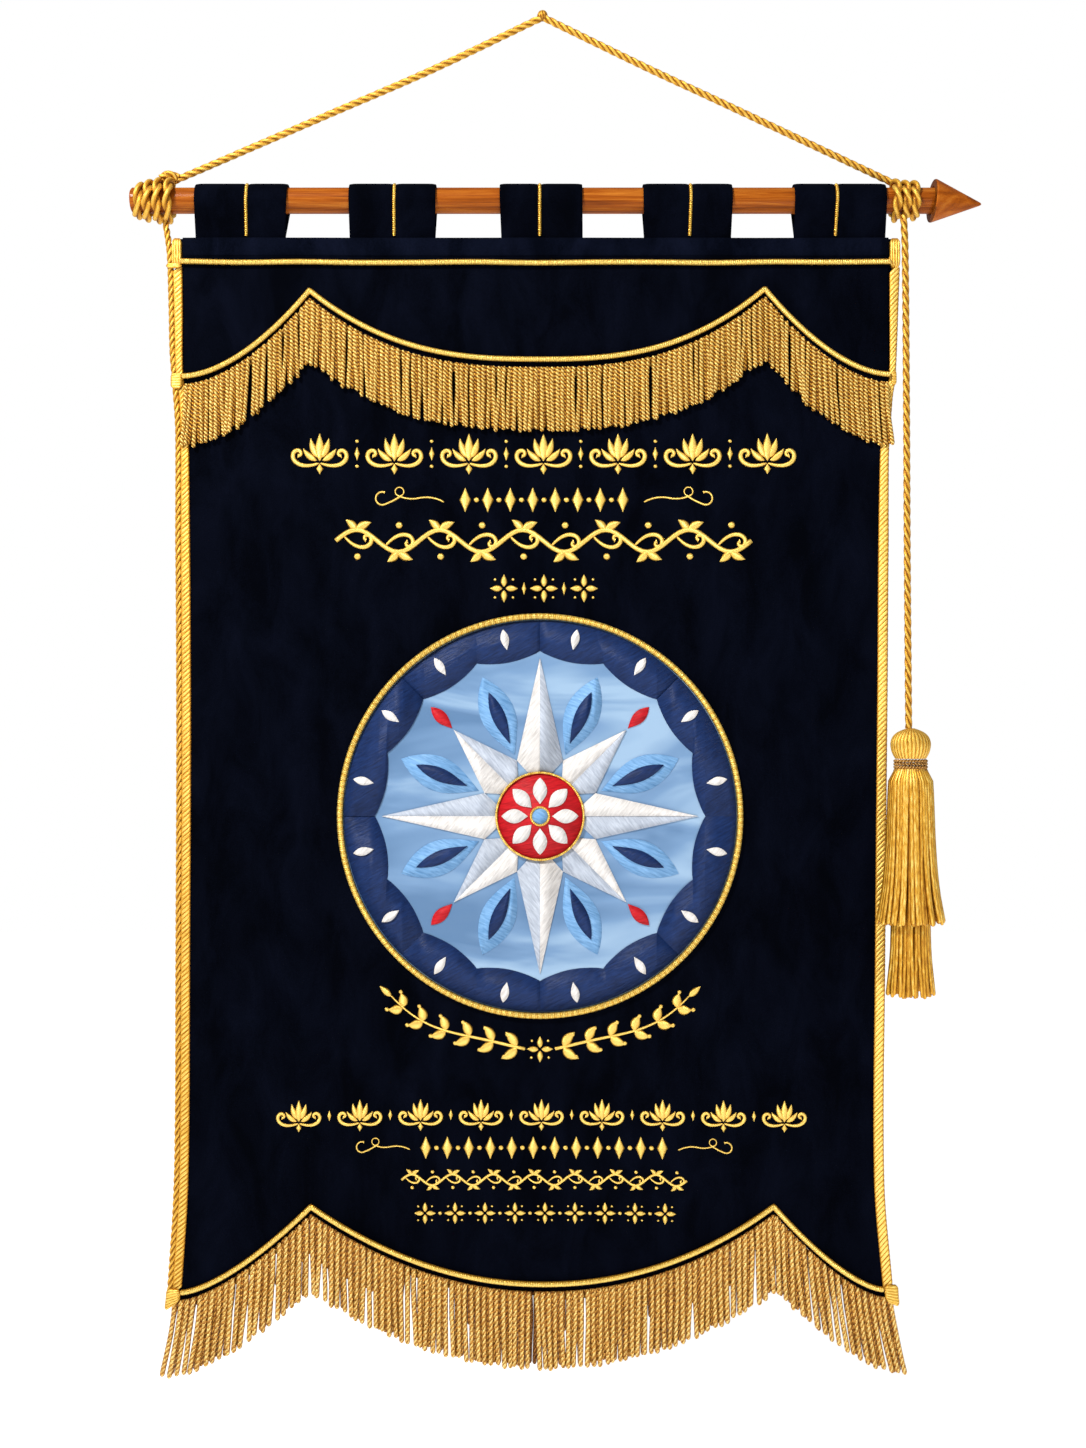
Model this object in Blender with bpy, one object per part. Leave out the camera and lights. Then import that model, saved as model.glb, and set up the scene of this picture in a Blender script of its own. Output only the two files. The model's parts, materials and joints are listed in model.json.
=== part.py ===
"""A lodge banner on its rod, in metres: +Z is up, the banner's front faces -Y.

The origin is the point that the gold cord hangs from. Depths are measured down from it, so a
depth of 0.2 is z = -0.2. Cloth and the trim sewn to it lie in layers on one gently folded
surface, drape(); each layer is a distance in front of that surface.
"""

import math

import bmesh
import bpy
from mathutils import Matrix, Vector

GAP = 0.0004

# Rod and finial. The finial sits a little crooked on the rod's end.
ROD_RADIUS = 0.0125
ROD_LEFT = -0.4104
ROD_RIGHT = 0.3951
ROD_DEPTH = 0.1838
ROD_END_ROUNDING = 0.0015
FINIAL_BASE = 0.3890
FINIAL_RADIUS = 0.0208
FINIAL_LENGTH = 0.0500
FINIAL_DROOP = math.radians(4)
FINIAL_SOCKET_DEPTH = 0.0075
FINIAL_SOCKET_RADIUS = 0.0139

# Cord turns wound round the rod: place along it, and outer radius of the turn.
CORD_RADIUS = 0.0033
LASHING_BORE = ROD_RADIUS + 0.0005
LEFT_TURNS = ((-0.4030, 0.0178), (-0.3941, 0.0200), (-0.3850, 0.0215), (-0.3722, 0.0220))
RIGHT_TURNS = ((0.3535, 0.0205), (0.3630, 0.0192), (0.3712, 0.0188))

# Layers in front of the drape surface: (back, front) distances of each.
PANEL_LAYER = (-0.0010, 0.0010)
OVERLAY_LAYER = (0.0014, 0.0030)
TOP_BRAID_LAYER = (0.0034, 0.0046)
VALANCE_FRINGE_LAYER = (0.0034, 0.0060)
HEM_FRINGE_LAYER = (0.0014, 0.0040)
GROUND_LAYER = (0.0015, 0.0029)
CORD_TIE_LAYER = (0.0053, 0.0070)
BRAID_TIE_LAYER = (0.0034, 0.0052)
WRAP_LAYER = (0.0050, 0.0072)
PIPING_RADIUS = 0.0029
PIPING_END = 0.007

# The banner's sides: depth, and the inner edge of the left and of the right braid.
HEADING_DEPTH = 0.2222
SIDES = (
    (0.2222, -0.3602, 0.3464),
    (0.2920, -0.3592, 0.3466),
    (0.3590, -0.3588, 0.3462),
    (0.3830, -0.3550, 0.3425),
    (0.4430, -0.3528, 0.3370),
    (0.6830, -0.3508, 0.3344),
    (0.9430, -0.3515, 0.3322),
    (1.1630, -0.3531, 0.3313),
    (1.2750, -0.3600, 0.3405),
)
BRAID_WIDTHS = (0.0090, 0.0102)
BRAID_END = 1.2720
BRAID_STEPS = 28
PANEL_UNDERLAP = 0.0080
COLUMNS = 36
OVERLAY_END = 0.0025

# Soft vertical folds of the hanging cloth, full at the hem and none at the rod:
# height of the fold, its wavelength, and where a crest lies.
FOLDS = ((0.0042, 0.480, -0.030), (0.0016, 0.285, 0.110))
HEM_DEPTH = 1.2750

# Scalloped edges, as the line of the piping: five turning points (x, depth), and how sharply
# the side lobes and the middle lobe curve up to their cusps.
VALANCE_EDGE = {
    "points": ((-0.3575, 0.3605), (-0.2321, 0.2752), (-0.0025, 0.3436), (0.2213, 0.2737),
               (0.3450, 0.3585)),
    "side_power": 1.75,
    "middle_power": 2.70,
}
HEM_EDGE = {
    "points": ((-0.3600, 1.2730), (-0.2306, 1.1875), (0.0020, 1.2668), (0.2298, 1.1866),
               (0.3395, 1.2712)),
    "side_power": 1.47,
    "middle_power": 2.10,
}
CLOTH_BELOW_PIPING = 0.0125
FRINGE_BELOW_PIPING = 0.0075
FRINGE_HEADER = 0.0090
FRINGE_PITCH = 0.0120
FRINGE_SLIT = 0.22
VALANCE_FRINGE_LENGTH = 0.0660
VALANCE_FRINGE_FLARE = 0.0030
HEM_FRINGE_LENGTH = 0.0805
HEM_FRINGE_FLARE = 0.0200
HEM_FRINGE_PARTING = 0.0050
TOP_BRAID_DEPTH = (0.2423, 0.2487)

# Tabs: left and right edge over the rod, left and right edge at the tails, and the line of the
# piping over the rod and at the tails.
TABS = (
    (-0.3442, -0.2518, -0.3426, -0.2576, -0.2936, -0.2966),
    (-0.1908, -0.1060, -0.1899, -0.1073, -0.1470, -0.1486),
    (-0.0425, 0.0395, -0.0413, 0.0402, -0.0028, -0.0028),
    (0.1000, 0.1885, 0.1017, 0.1889, 0.1470, 0.1474),
    (0.2475, 0.3396, 0.2538, 0.3418, 0.2920, 0.2932),
)
TAB_THICKNESS = 0.0030
TAB_EASE = 0.0009
TAB_TAIL_DEPTH = 0.2400
TAB_MEETING_DEPTH = 0.2180
TAB_PIPING_WIDTH = 0.0032
TAB_PIPING_THICKNESS = 0.0012
TAB_PIPING_REACH = 0.98

# Medallion.
MEDALLION_CENTRE = (-0.0025, 0.7990)
MEDALLION_RADIUS = 0.2025
RING_CORD_RADIUS = 0.0030
RING_POINTS = 48

# Cords that hang free: the route's own points, from the lashing to the far end.
KNOT_RADIUS = 0.0056
HANGER_LEFT = ((-0.3683, 0, -0.1640), (-0.3325, 0, -0.1487), (-0.2125, 0, -0.0970),
               (-0.1125, 0, -0.0538), (-0.0053, 0, -0.0028))
HANGER_RIGHT = ((0.3497, 0, -0.1658), (0.1775, 0, -0.0848), (0.1075, 0, -0.0523),
                (0.0053, 0, -0.0026))
TASSEL_CORD = ((0.3586, -0.0098, -0.2022), (0.3589, -0.0150, -0.2350), (0.3592, -0.0195, -0.3850),
               (0.3594, -0.0220, -0.5400), (0.3604, -0.0238, -0.7113))
EDGE_CORD_START = ((-0.3768, 0, -0.2072), (-0.3755, -0.0008, -0.2170), (-0.3744, -0.0012, -0.2270),
                   (-0.3736, -0.0014, -0.2380))
EDGE_CORD_RADIUS = 0.0031
EDGE_CORD_OFFSET = 0.0016
HANGER_POINTS = 14
TASSEL_POINTS = 18

# Tassel: centre line, then (depth, half width) down each turned piece. It is flatter than it
# is wide, because it hangs against the banner's edge.
TASSEL_X = 0.3620
TASSEL_Y = -0.0250
TASSEL_FLATNESS = 0.70
HEAD_PROFILE = ((0.7117, 0.0060), (0.7140, 0.0118), (0.7190, 0.0175), (0.7262, 0.0199),
                (0.7340, 0.0190), (0.7392, 0.0162), (0.7410, 0.0148))
BAND_PROFILE = ((0.7414, 0.0150), (0.7428, 0.0164), (0.7530, 0.0166), (0.7542, 0.0155))
SKIRT_PROFILE = ((0.7546, 0.0165), (0.7575, 0.0205), (0.7650, 0.0225), (0.8300, 0.0252),
                 (0.8700, 0.0285), (0.9040, 0.0336), (0.9070, 0.0325))
UNDERSKIRT_PROFILE = ((0.9074, 0.0205), (0.9350, 0.0212), (0.9760, 0.0238))

VELVET = ("navy velvet", (0.004, 0.006, 0.018), 0.85, 0.0)
GOLD = ("gold rayon", (0.68, 0.38, 0.08), 0.45, 0.0)
WOOD = ("turned wood", (0.45, 0.11, 0.015), 0.35, 0.0)
SATIN = ("light blue satin", (0.16, 0.30, 0.52), 0.40, 0.0)


def clear_scene():
    for obj in list(bpy.data.objects):
        bpy.data.objects.remove(obj, do_unlink=True)


def material(finish):
    name, colour, roughness, metallic = finish
    found = bpy.data.materials.get(name)
    if found:
        return found
    made = bpy.data.materials.new(name)
    made.use_nodes = True
    shader = made.node_tree.nodes["Principled BSDF"]
    shader.inputs["Base Color"].default_value = (*colour, 1)
    shader.inputs["Roughness"].default_value = roughness
    shader.inputs["Metallic"].default_value = metallic
    return made


def add_object(name, data, finish):
    """Links the data as one named piece with its finish."""
    data.materials.append(material(finish))
    obj = bpy.data.objects.new(name, data)
    bpy.context.collection.objects.link(obj)
    return obj


def add_mesh(name, bm, finish, smooth_angle=40):
    bmesh.ops.recalc_face_normals(bm, faces=bm.faces)
    mesh = bpy.data.meshes.new(name)
    bm.to_mesh(mesh)
    bm.free()
    mesh.shade_smooth()
    mesh.set_sharp_from_angle(angle=math.radians(smooth_angle))
    return add_object(name, mesh, finish)


def through(rows, key):
    """The other columns of a table at this key, on a smooth curve through its rows."""
    last = len(rows) - 2
    i = next((n for n in range(last) if key <= rows[n + 1][0]), last)
    span = rows[i + 1][0] - rows[i][0]
    t = (key - rows[i][0]) / span

    def slope(n, column):
        low, high = max(n - 1, 0), min(n + 1, len(rows) - 1)
        return (rows[high][column] - rows[low][column]) / (rows[high][0] - rows[low][0])

    return [
        (2 * t**3 - 3 * t**2 + 1) * rows[i][c]
        + (t**3 - 2 * t**2 + t) * span * slope(i, c)
        + (3 * t**2 - 2 * t**3) * rows[i + 1][c]
        + (t**3 - t**2) * span * slope(i + 1, c)
        for c in range(1, len(rows[0]))
    ]


def blend(a, b, t):
    return a + (b - a) * t


def drape(x, depth):
    """How far the folded cloth lies behind the rod's plane (+Y) at this place."""
    fullness = max(0.0, (depth - HEADING_DEPTH) / (HEM_DEPTH - HEADING_DEPTH))
    return fullness * sum(
        height * math.cos(2 * math.pi * (x - crest) / wavelength)
        for height, wavelength, crest in FOLDS
    )


def across(u, depth):
    """x at u, where 0 and 1 are the inner edges of the side braids."""
    left, right = through(SIDES, min(max(depth, SIDES[0][0]), SIDES[-1][0]))
    return blend(left, right, u)


def scallop(edge, x):
    """Depth of a scalloped edge's piping at x."""
    left, cusp_left, middle, cusp_right, right = edge["points"]
    x = min(max(x, left[0]), right[0])
    if x < cusp_left[0]:
        low, cusp, power = left, cusp_left, edge["side_power"]
    elif x > cusp_right[0]:
        low, cusp, power = right, cusp_right, edge["side_power"]
    else:
        low, power = middle, edge["middle_power"]
        cusp = cusp_left if x < middle[0] else cusp_right
    part = abs(x - low[0]) / abs(cusp[0] - low[0])
    return blend(low[1], cusp[1], part**power)


def edge_depth(edge, u):
    """Depth of a scalloped edge's piping on the column u."""
    depth = edge["points"][0][1]
    for _ in range(5):
        depth = scallop(edge, across(u, depth))
    return depth


def cusp_columns(edge):
    """u of an edge's two cusps."""
    spots = []
    for x, depth in edge["points"][1::2]:
        left, right = across(0, depth), across(1, depth)
        spots.append((x - left) / (right - left))
    return spots


def columns(first=0.0, last=1.0, extra=()):
    """Column positions from first to last that every cloth layer shares."""
    cusps = cusp_columns(VALANCE_EDGE) + cusp_columns(HEM_EDGE)
    regular = [n / COLUMNS for n in range(COLUMNS + 1)]
    shared = cusps + [u for u in regular if min(abs(u - cusp) for cusp in cusps) > 0.008]
    inside = [u for u in shared if first + 0.004 < u < last - 0.004]
    return sorted([first, *inside, last, *extra])


def sheet(name, us, vs, place, layer, finish, keep=lambda i, j: True):
    """A closed sheet of grid cells. place(u, v) gives (x, depth), and layer its back and front."""
    bm = bmesh.new()
    corners = {}

    def corner(i, j, side):
        if (i, j, side) not in corners:
            x, depth = place(us[i], vs[j])
            corners[i, j, side] = bm.verts.new((x, drape(x, depth) - layer[side], -depth))
        return corners[i, j, side]

    cells = {(i, j) for i in range(len(us) - 1) for j in range(len(vs) - 1) if keep(i, j)}
    for i, j in cells:
        loop = ((i, j), (i, j + 1), (i + 1, j + 1), (i + 1, j))
        bm.faces.new([corner(*at, 1) for at in loop])
        bm.faces.new([corner(*at, 0) for at in reversed(loop)])
        beyond = ((i - 1, j), (i, j + 1), (i + 1, j), (i, j - 1))
        for n, neighbour in enumerate(beyond):
            if neighbour not in cells:
                a, b = loop[n], loop[(n + 1) % 4]
                bm.faces.new([corner(*b, 1), corner(*a, 1), corner(*a, 0), corner(*b, 0)])
    return add_mesh(name, bm, finish)


def lathe(name, profile, finish, segments, closed=False):
    """A piece turned round its own X axis from (along, radius) points."""
    bm = bmesh.new()
    verts = [bm.verts.new((along, 0, radius)) for along, radius in profile]
    ends = list(zip(verts, verts[1:] + verts[:1])) if closed else list(zip(verts, verts[1:]))
    edges = [bm.edges.new(pair) for pair in ends]
    bmesh.ops.spin(bm, geom=verts + edges, cent=(0, 0, 0), axis=(1, 0, 0),
                   angle=2 * math.pi, steps=segments, use_merge=True)
    bmesh.ops.remove_doubles(bm, verts=bm.verts, dist=1e-6)
    return add_mesh(name, bm, finish)


def tube(name, points, radius, finish, cyclic=False):
    """A round cord as a bevelled curve with filled caps."""
    curve = bpy.data.curves.new(name, "CURVE")
    curve.dimensions = "3D"
    curve.bevel_depth = radius
    curve.bevel_resolution = 2
    curve.use_fill_caps = True
    spline = curve.splines.new("POLY")
    spline.points.add(len(points) - 1)
    for point, at in zip(spline.points, points):
        point.co = (*at, 1)
    spline.use_cyclic_u = cyclic
    return add_object(name, curve, finish)


def along_route(route, count):
    """Evenly spaced points on a smooth curve through the route's own points."""
    rows = [(0.0, *route[0])]
    for before, here in zip(route, route[1:]):
        rows.append((rows[-1][0] + (Vector(here) - Vector(before)).length, *here))
    return [through(rows, rows[-1][0] * n / (count - 1)) for n in range(count)]


def build_rod():
    tip = ROD_RADIUS - ROD_END_ROUNDING
    length = ROD_RIGHT - ROD_LEFT
    profile = ((0, 0), (0, tip), (ROD_END_ROUNDING, ROD_RADIUS), (length, ROD_RADIUS), (length, 0))
    rod = lathe("rod", profile, WOOD, 32)
    rod.location = (ROD_LEFT, 0, -ROD_DEPTH)
    return rod


def build_finial():
    length, radius = FINIAL_LENGTH, FINIAL_RADIUS
    profile = (
        (FINIAL_SOCKET_DEPTH, 0), (FINIAL_SOCKET_DEPTH, FINIAL_SOCKET_RADIUS),
        (0, FINIAL_SOCKET_RADIUS), (0, radius - 0.0012), (0.0005, radius - 0.0003),
        (0.0016, radius), (0.0030, radius - 0.0004), (length - 0.0026, 0.0020),
        (length - 0.0010, 0.0012), (length, 0),
    )
    finial = lathe("finial", profile, WOOD, 32)
    finial.location = (FINIAL_BASE, 0, -ROD_DEPTH)
    finial.rotation_euler = (0, FINIAL_DROOP, 0)


def build_lashing(name, turns):
    """Turns of cord round the rod, as one ring with a rounded crest for each turn."""
    profile = []
    for x, radius in turns:
        for angle in (25, 60, 90, 120, 155):
            a = math.radians(angle)
            profile.append((x - CORD_RADIUS * math.cos(a),
                            radius - CORD_RADIUS * (1 - math.sin(a))))
    first, last = turns[0][0] - CORD_RADIUS, turns[-1][0] + CORD_RADIUS
    profile = [(first, LASHING_BORE), *profile, (last, LASHING_BORE)]
    ring = lathe(name, profile, GOLD, 20, closed=True)
    ring.location = (0, 0, -ROD_DEPTH)


def build_panel():
    underlap = PANEL_UNDERLAP / 0.70
    us = columns(-underlap, 1 + underlap, extra=(0.0, 1.0))
    side_hem = HEM_EDGE["points"][0][1] + CLOTH_BELOW_PIPING
    depths = sorted([row[0] for row in SIDES[:-1]] + [1.2200, side_hem])
    vs = [(depth - HEADING_DEPTH) / (side_hem - HEADING_DEPTH) for depth in depths]

    def place(u, v):
        hem = edge_depth(HEM_EDGE, min(max(u, 0), 1)) + CLOTH_BELOW_PIPING
        depth = blend(HEADING_DEPTH, hem, v)
        return across(u, depth), depth

    sheet("panel", us, vs, place, PANEL_LAYER, VELVET)


def build_valance():
    def place(u, v):
        edge = edge_depth(VALANCE_EDGE, u) + CLOTH_BELOW_PIPING
        depth = blend(HEADING_DEPTH, edge, v)
        return across(u, depth), depth

    sheet("valance", columns(OVERLAY_END, 1 - OVERLAY_END), [0, 0.25, 0.5, 0.75, 1], place, OVERLAY_LAYER, VELVET)


def build_top_braid():
    sheet("top_braid", columns(OVERLAY_END, 1 - OVERLAY_END), TOP_BRAID_DEPTH,
          lambda u, v: (across(u, v), v), TOP_BRAID_LAYER, GOLD)


def braid_rows():
    """Depths of the cross-sections that a side braid and the cord beside it share."""
    return [blend(HEADING_DEPTH, BRAID_END, n / BRAID_STEPS) for n in range(BRAID_STEPS + 1)]


def build_edge_braid(name, side):
    """Flat braid down one side: side 0 is the left edge, 1 the right."""
    outward = (-1, 1)[side]
    us = (0, 1) if side else (1, 0)
    sheet(name, us, braid_rows(), lambda u, v: (across(side, v) + outward * u * BRAID_WIDTHS[side], v),
          OVERLAY_LAYER, GOLD)


def piping_points(edge, layer_front):
    """Centre line of the piping sewn along a scalloped edge."""
    points = []
    for u in columns(PIPING_END, 1 - PIPING_END):
        depth = edge_depth(edge, u)
        x = across(u, depth)
        points.append((x, drape(x, depth) - layer_front - GAP - PIPING_RADIUS, -depth))
    return points


def build_fringe(name, edge, first, last, length, layer, flare, parting=(0, 0)):
    """A fringe as one comb: an unbroken header with slits between its strands."""
    width = across(last, edge["points"][0][1]) - across(first, edge["points"][0][1])
    count = round(width / FRINGE_PITCH)
    us = []
    for n in range(count):
        us += [blend(first, last, (n + s) / count) for s in (0, 1 - FRINGE_SLIT)]
    us[-1] = last
    vs = (0, FRINGE_HEADER / length, 1)

    def place(u, v):
        top = edge_depth(edge, u) + FRINGE_BELOW_PIPING
        depth = top + v * length
        near_left = max(0, 1 - u / 0.10) ** 2
        near_right = max(0, 1 - (1 - u) / 0.10) ** 2
        lean = flare * (near_right - near_left)
        lean += parting[0] * max(0, 1 - (u - first) / 0.03)
        lean -= parting[1] * max(0, 1 - (last - u) / 0.03)
        return across(u, top) + lean * v, depth

    sheet(name, us, vs, place, layer, GOLD, keep=lambda i, j: j == 0 or i % 2 == 0)


def build_tab(number, rod_left, rod_right, tail_left, tail_right, rod_piping, tail_piping):
    """A tab: a strip folded over the rod, both tails sewn behind the heading."""
    radius = ROD_RADIUS + TAB_EASE + TAB_THICKNESS / 2
    front_tail = -PANEL_LAYER[0] + GAP + TAB_THICKNESS / 2
    back_tail = front_tail + TAB_THICKNESS + GAP
    arc = [math.radians(angle) for angle in range(-14, 195, 20)]
    route = [(front_tail, TAB_TAIL_DEPTH), (front_tail, TAB_MEETING_DEPTH)]
    route += [(-radius * math.cos(a), ROD_DEPTH - radius * math.sin(a)) for a in arc]
    route += [(back_tail, TAB_MEETING_DEPTH), (back_tail, TAB_TAIL_DEPTH)]
    strip(f"tab_{number}", route, TAB_THICKNESS, (rod_left, rod_right), (tail_left, tail_right),
          VELVET)

    outside = radius + TAB_THICKNESS / 2 + GAP + TAB_PIPING_THICKNESS / 2
    cord = [(-outside * math.cos(a), ROD_DEPTH - outside * math.sin(a))
            for a in reversed(arc[:5])]
    run = Vector(route[1]) - Vector(route[2])
    cord.append(Vector(cord[-1]) + run * TAB_PIPING_REACH)
    half = TAB_PIPING_WIDTH / 2
    strip(f"tab_piping_{number}", cord, TAB_PIPING_THICKNESS, (rod_piping - half, rod_piping + half),
          (tail_piping - half, tail_piping + half), GOLD)


def strip(name, route, thickness, at_rod, at_tail, finish):
    """A strip of one thickness along a route of (y, depth) points, between two edges.

    The edges are x positions, given over the rod and where the strip meets the heading.
    """
    points = [Vector((y, -depth)) for y, depth in route]
    rims = []
    for n, point in enumerate(points):
        before = points[max(n - 1, 0)]
        after = points[min(n + 1, len(points) - 1)]
        a = (point - before).normalized() if n else (after - point).normalized()
        b = (after - point).normalized() if n < len(points) - 1 else a
        mitre = (a + b).normalized()
        normal = Vector((-mitre.y, mitre.x)) / max(mitre.dot(a), 0.5)
        rims.append((point + normal * thickness / 2, point - normal * thickness / 2))
    section = [rim[0] for rim in rims] + [rim[1] for rim in reversed(rims)]
    bm = bmesh.new()

    def edge_point(side, at):
        drop = min(max((-at.y - ROD_DEPTH) / (TAB_MEETING_DEPTH - ROD_DEPTH), 0), 1)
        return (blend(at_rod[side], at_tail[side], drop), *at)

    loops = [[bm.verts.new(edge_point(side, at)) for at in section] for side in (0, 1)]
    for near, far in zip(loops, loops[1:]):
        for n in range(len(section)):
            m = (n + 1) % len(section)
            bm.faces.new((near[n], near[m], far[m], far[n]))
    half = len(rims)
    for loop in (loops[0], loops[-1]):
        for n in range(half - 1):
            bm.faces.new((loop[n], loop[n + 1], loop[-2 - n], loop[-1 - n]))
    add_mesh(name, bm, finish)


def build_medallion():
    centre_x, centre_depth = MEDALLION_CENTRE
    ground_radius = MEDALLION_RADIUS - 2 * RING_CORD_RADIUS - GAP
    rings, sectors = 6, 36
    bm = bmesh.new()
    sides = []
    for layer in GROUND_LAYER:
        grid = [[bm.verts.new((centre_x, drape(centre_x, centre_depth) - layer, -centre_depth))]]
        for ring in range(1, rings + 1):
            r = ground_radius * ring / rings
            row = []
            for sector in range(sectors):
                a = 2 * math.pi * sector / sectors
                x, depth = centre_x + r * math.sin(a), centre_depth - r * math.cos(a)
                row.append(bm.verts.new((x, drape(x, depth) - layer, -depth)))
            grid.append(row)
        for n in range(sectors):
            m = (n + 1) % sectors
            bm.faces.new((grid[0][0], grid[1][n], grid[1][m]))
            for inner, outer in zip(grid[1:], grid[2:]):
                bm.faces.new((inner[n], outer[n], outer[m], inner[m]))
        sides.append(grid[-1])
    for n in range(sectors):
        m = (n + 1) % sectors
        bm.faces.new((sides[0][n], sides[1][n], sides[1][m], sides[0][m]))
    add_mesh("medallion_ground", bm, SATIN)

    ring_radius = MEDALLION_RADIUS - RING_CORD_RADIUS
    points = []
    for n in range(RING_POINTS):
        a = 2 * math.pi * n / RING_POINTS
        x, depth = centre_x + ring_radius * math.sin(a), centre_depth - ring_radius * math.cos(a)
        y = drape(x, depth) - PANEL_LAYER[1] - GAP - RING_CORD_RADIUS
        points.append((x, y, -depth))
    tube("medallion_ring", points, RING_CORD_RADIUS, GOLD, cyclic=True)


def build_edge_cord():
    """Cord from the left lashing down the outside of the left braid."""
    route = list(EDGE_CORD_START)
    for depth in braid_rows()[1:]:
        x = across(0, depth) - BRAID_WIDTHS[0] - EDGE_CORD_RADIUS - GAP
        route.append((x, drape(x, depth) - EDGE_CORD_OFFSET, -depth))
    tube("edge_cord_left", route, EDGE_CORD_RADIUS, GOLD)


def build_block(name, x_range, depth_range, layer, rounding=0.0007):
    """A small bound wrap of thread, as a rounded block on its layer."""
    size = Vector((x_range[1] - x_range[0], layer[1] - layer[0], depth_range[1] - depth_range[0]))
    x, depth = sum(x_range) / 2, sum(depth_range) / 2
    bm = bmesh.new()
    bmesh.ops.create_cube(bm, size=1, matrix=Matrix.Diagonal((*size, 1)))
    bmesh.ops.bevel(bm, geom=bm.edges, offset=rounding, segments=1, profile=0.5,
                    affect="EDGES", material=-1)
    block = add_mesh(name, bm, GOLD)
    block.location = (x, drape(x, depth) - sum(layer) / 2, -depth)


def build_ties():
    outer = across(0, 0.250) - BRAID_WIDTHS[0] - 2 * EDGE_CORD_RADIUS - GAP
    build_block("tie_top_left", (outer, across(0, 0.250)), (0.2477, 0.2527),
                CORD_TIE_LAYER)
    outer = across(0, 0.366) - BRAID_WIDTHS[0] - 2 * EDGE_CORD_RADIUS
    build_block("tie_valance_left", (outer, across(0, 0.366) - 0.0012), (0.3570, 0.3730),
                CORD_TIE_LAYER)
    build_block("tie_valance_right", (0.3480, 0.3560), (0.3540, 0.3690), BRAID_TIE_LAYER)
    build_block("corner_wrap_left", (-0.3739, -0.3605), (1.2690, 1.2918), WRAP_LAYER)
    build_block("corner_wrap_right", (0.3421, 0.3554), (1.2664, 1.2880), WRAP_LAYER)


def build_tassel():
    for name, profile in (
        ("tassel_head", HEAD_PROFILE),
        ("tassel_band", BAND_PROFILE),
        ("tassel_skirt", SKIRT_PROFILE),
        ("tassel_underskirt", UNDERSKIRT_PROFILE),
    ):
        turned = [(profile[0][0], 0), *profile, (profile[-1][0], 0)]
        piece = lathe(name, turned, GOLD, 20)
        upright = Matrix.Rotation(math.radians(90), 4, "Y")
        piece.data.transform(Matrix.Diagonal((1, TASSEL_FLATNESS, 1, 1)) @ upright)
        piece.location = (TASSEL_X, TASSEL_Y, 0)


def build_knot():
    bm = bmesh.new()
    bmesh.ops.create_uvsphere(bm, u_segments=12, v_segments=8, radius=KNOT_RADIUS)
    add_mesh("hanger_knot", bm, GOLD)


def main():
    clear_scene()
    build_rod()
    build_finial()
    build_lashing("lashing_left", LEFT_TURNS)
    build_lashing("lashing_right", RIGHT_TURNS)
    build_panel()
    build_valance()
    build_top_braid()
    build_edge_braid("edge_braid_left", 0)
    build_edge_braid("edge_braid_right", 1)
    build_edge_cord()
    tube("valance_piping", piping_points(VALANCE_EDGE, OVERLAY_LAYER[1]), PIPING_RADIUS, GOLD)
    tube("bottom_piping", piping_points(HEM_EDGE, PANEL_LAYER[1]), PIPING_RADIUS, GOLD)
    build_fringe("fringe_valance", VALANCE_EDGE, 0.0, 1.0, VALANCE_FRINGE_LENGTH,
                 VALANCE_FRINGE_LAYER, VALANCE_FRINGE_FLARE)
    build_fringe("fringe_bottom_left", HEM_EDGE, 0.0, 0.4995, HEM_FRINGE_LENGTH,
                 HEM_FRINGE_LAYER, HEM_FRINGE_FLARE, (0, HEM_FRINGE_PARTING))
    build_fringe("fringe_bottom_right", HEM_EDGE, 0.5005, 1.0, HEM_FRINGE_LENGTH,
                 HEM_FRINGE_LAYER, HEM_FRINGE_FLARE, (HEM_FRINGE_PARTING, 0))
    build_ties()
    for number, row in enumerate(TABS, start=1):
        build_tab(number, *row)
    build_medallion()
    build_knot()
    tube("hanger_cord_left", along_route(HANGER_LEFT, HANGER_POINTS), CORD_RADIUS, GOLD)
    tube("hanger_cord_right", along_route(HANGER_RIGHT, HANGER_POINTS), CORD_RADIUS, GOLD)
    tube("tassel_cord", along_route(TASSEL_CORD, TASSEL_POINTS), CORD_RADIUS, GOLD)
    build_tassel()


main()
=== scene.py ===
# %% [markdown]
# # Finishing a lodge banner
#
# The banner is a velvet cloth on a turned wooden rod, trimmed with gold cord, braid and fringe,
# and hung by one cord from a hook. The imported model already has every piece in its place, as
# plain solids. This lesson keeps the rod and the finial and gives them a varnish, and makes the
# cloth, the cords and the thread work again as what they really are.
#
# We begin with an empty scene, load the model, and note how big it is.

# %% Load the frame
import json
import math
import random

import bmesh
import bpy
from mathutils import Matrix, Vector, noise

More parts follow.
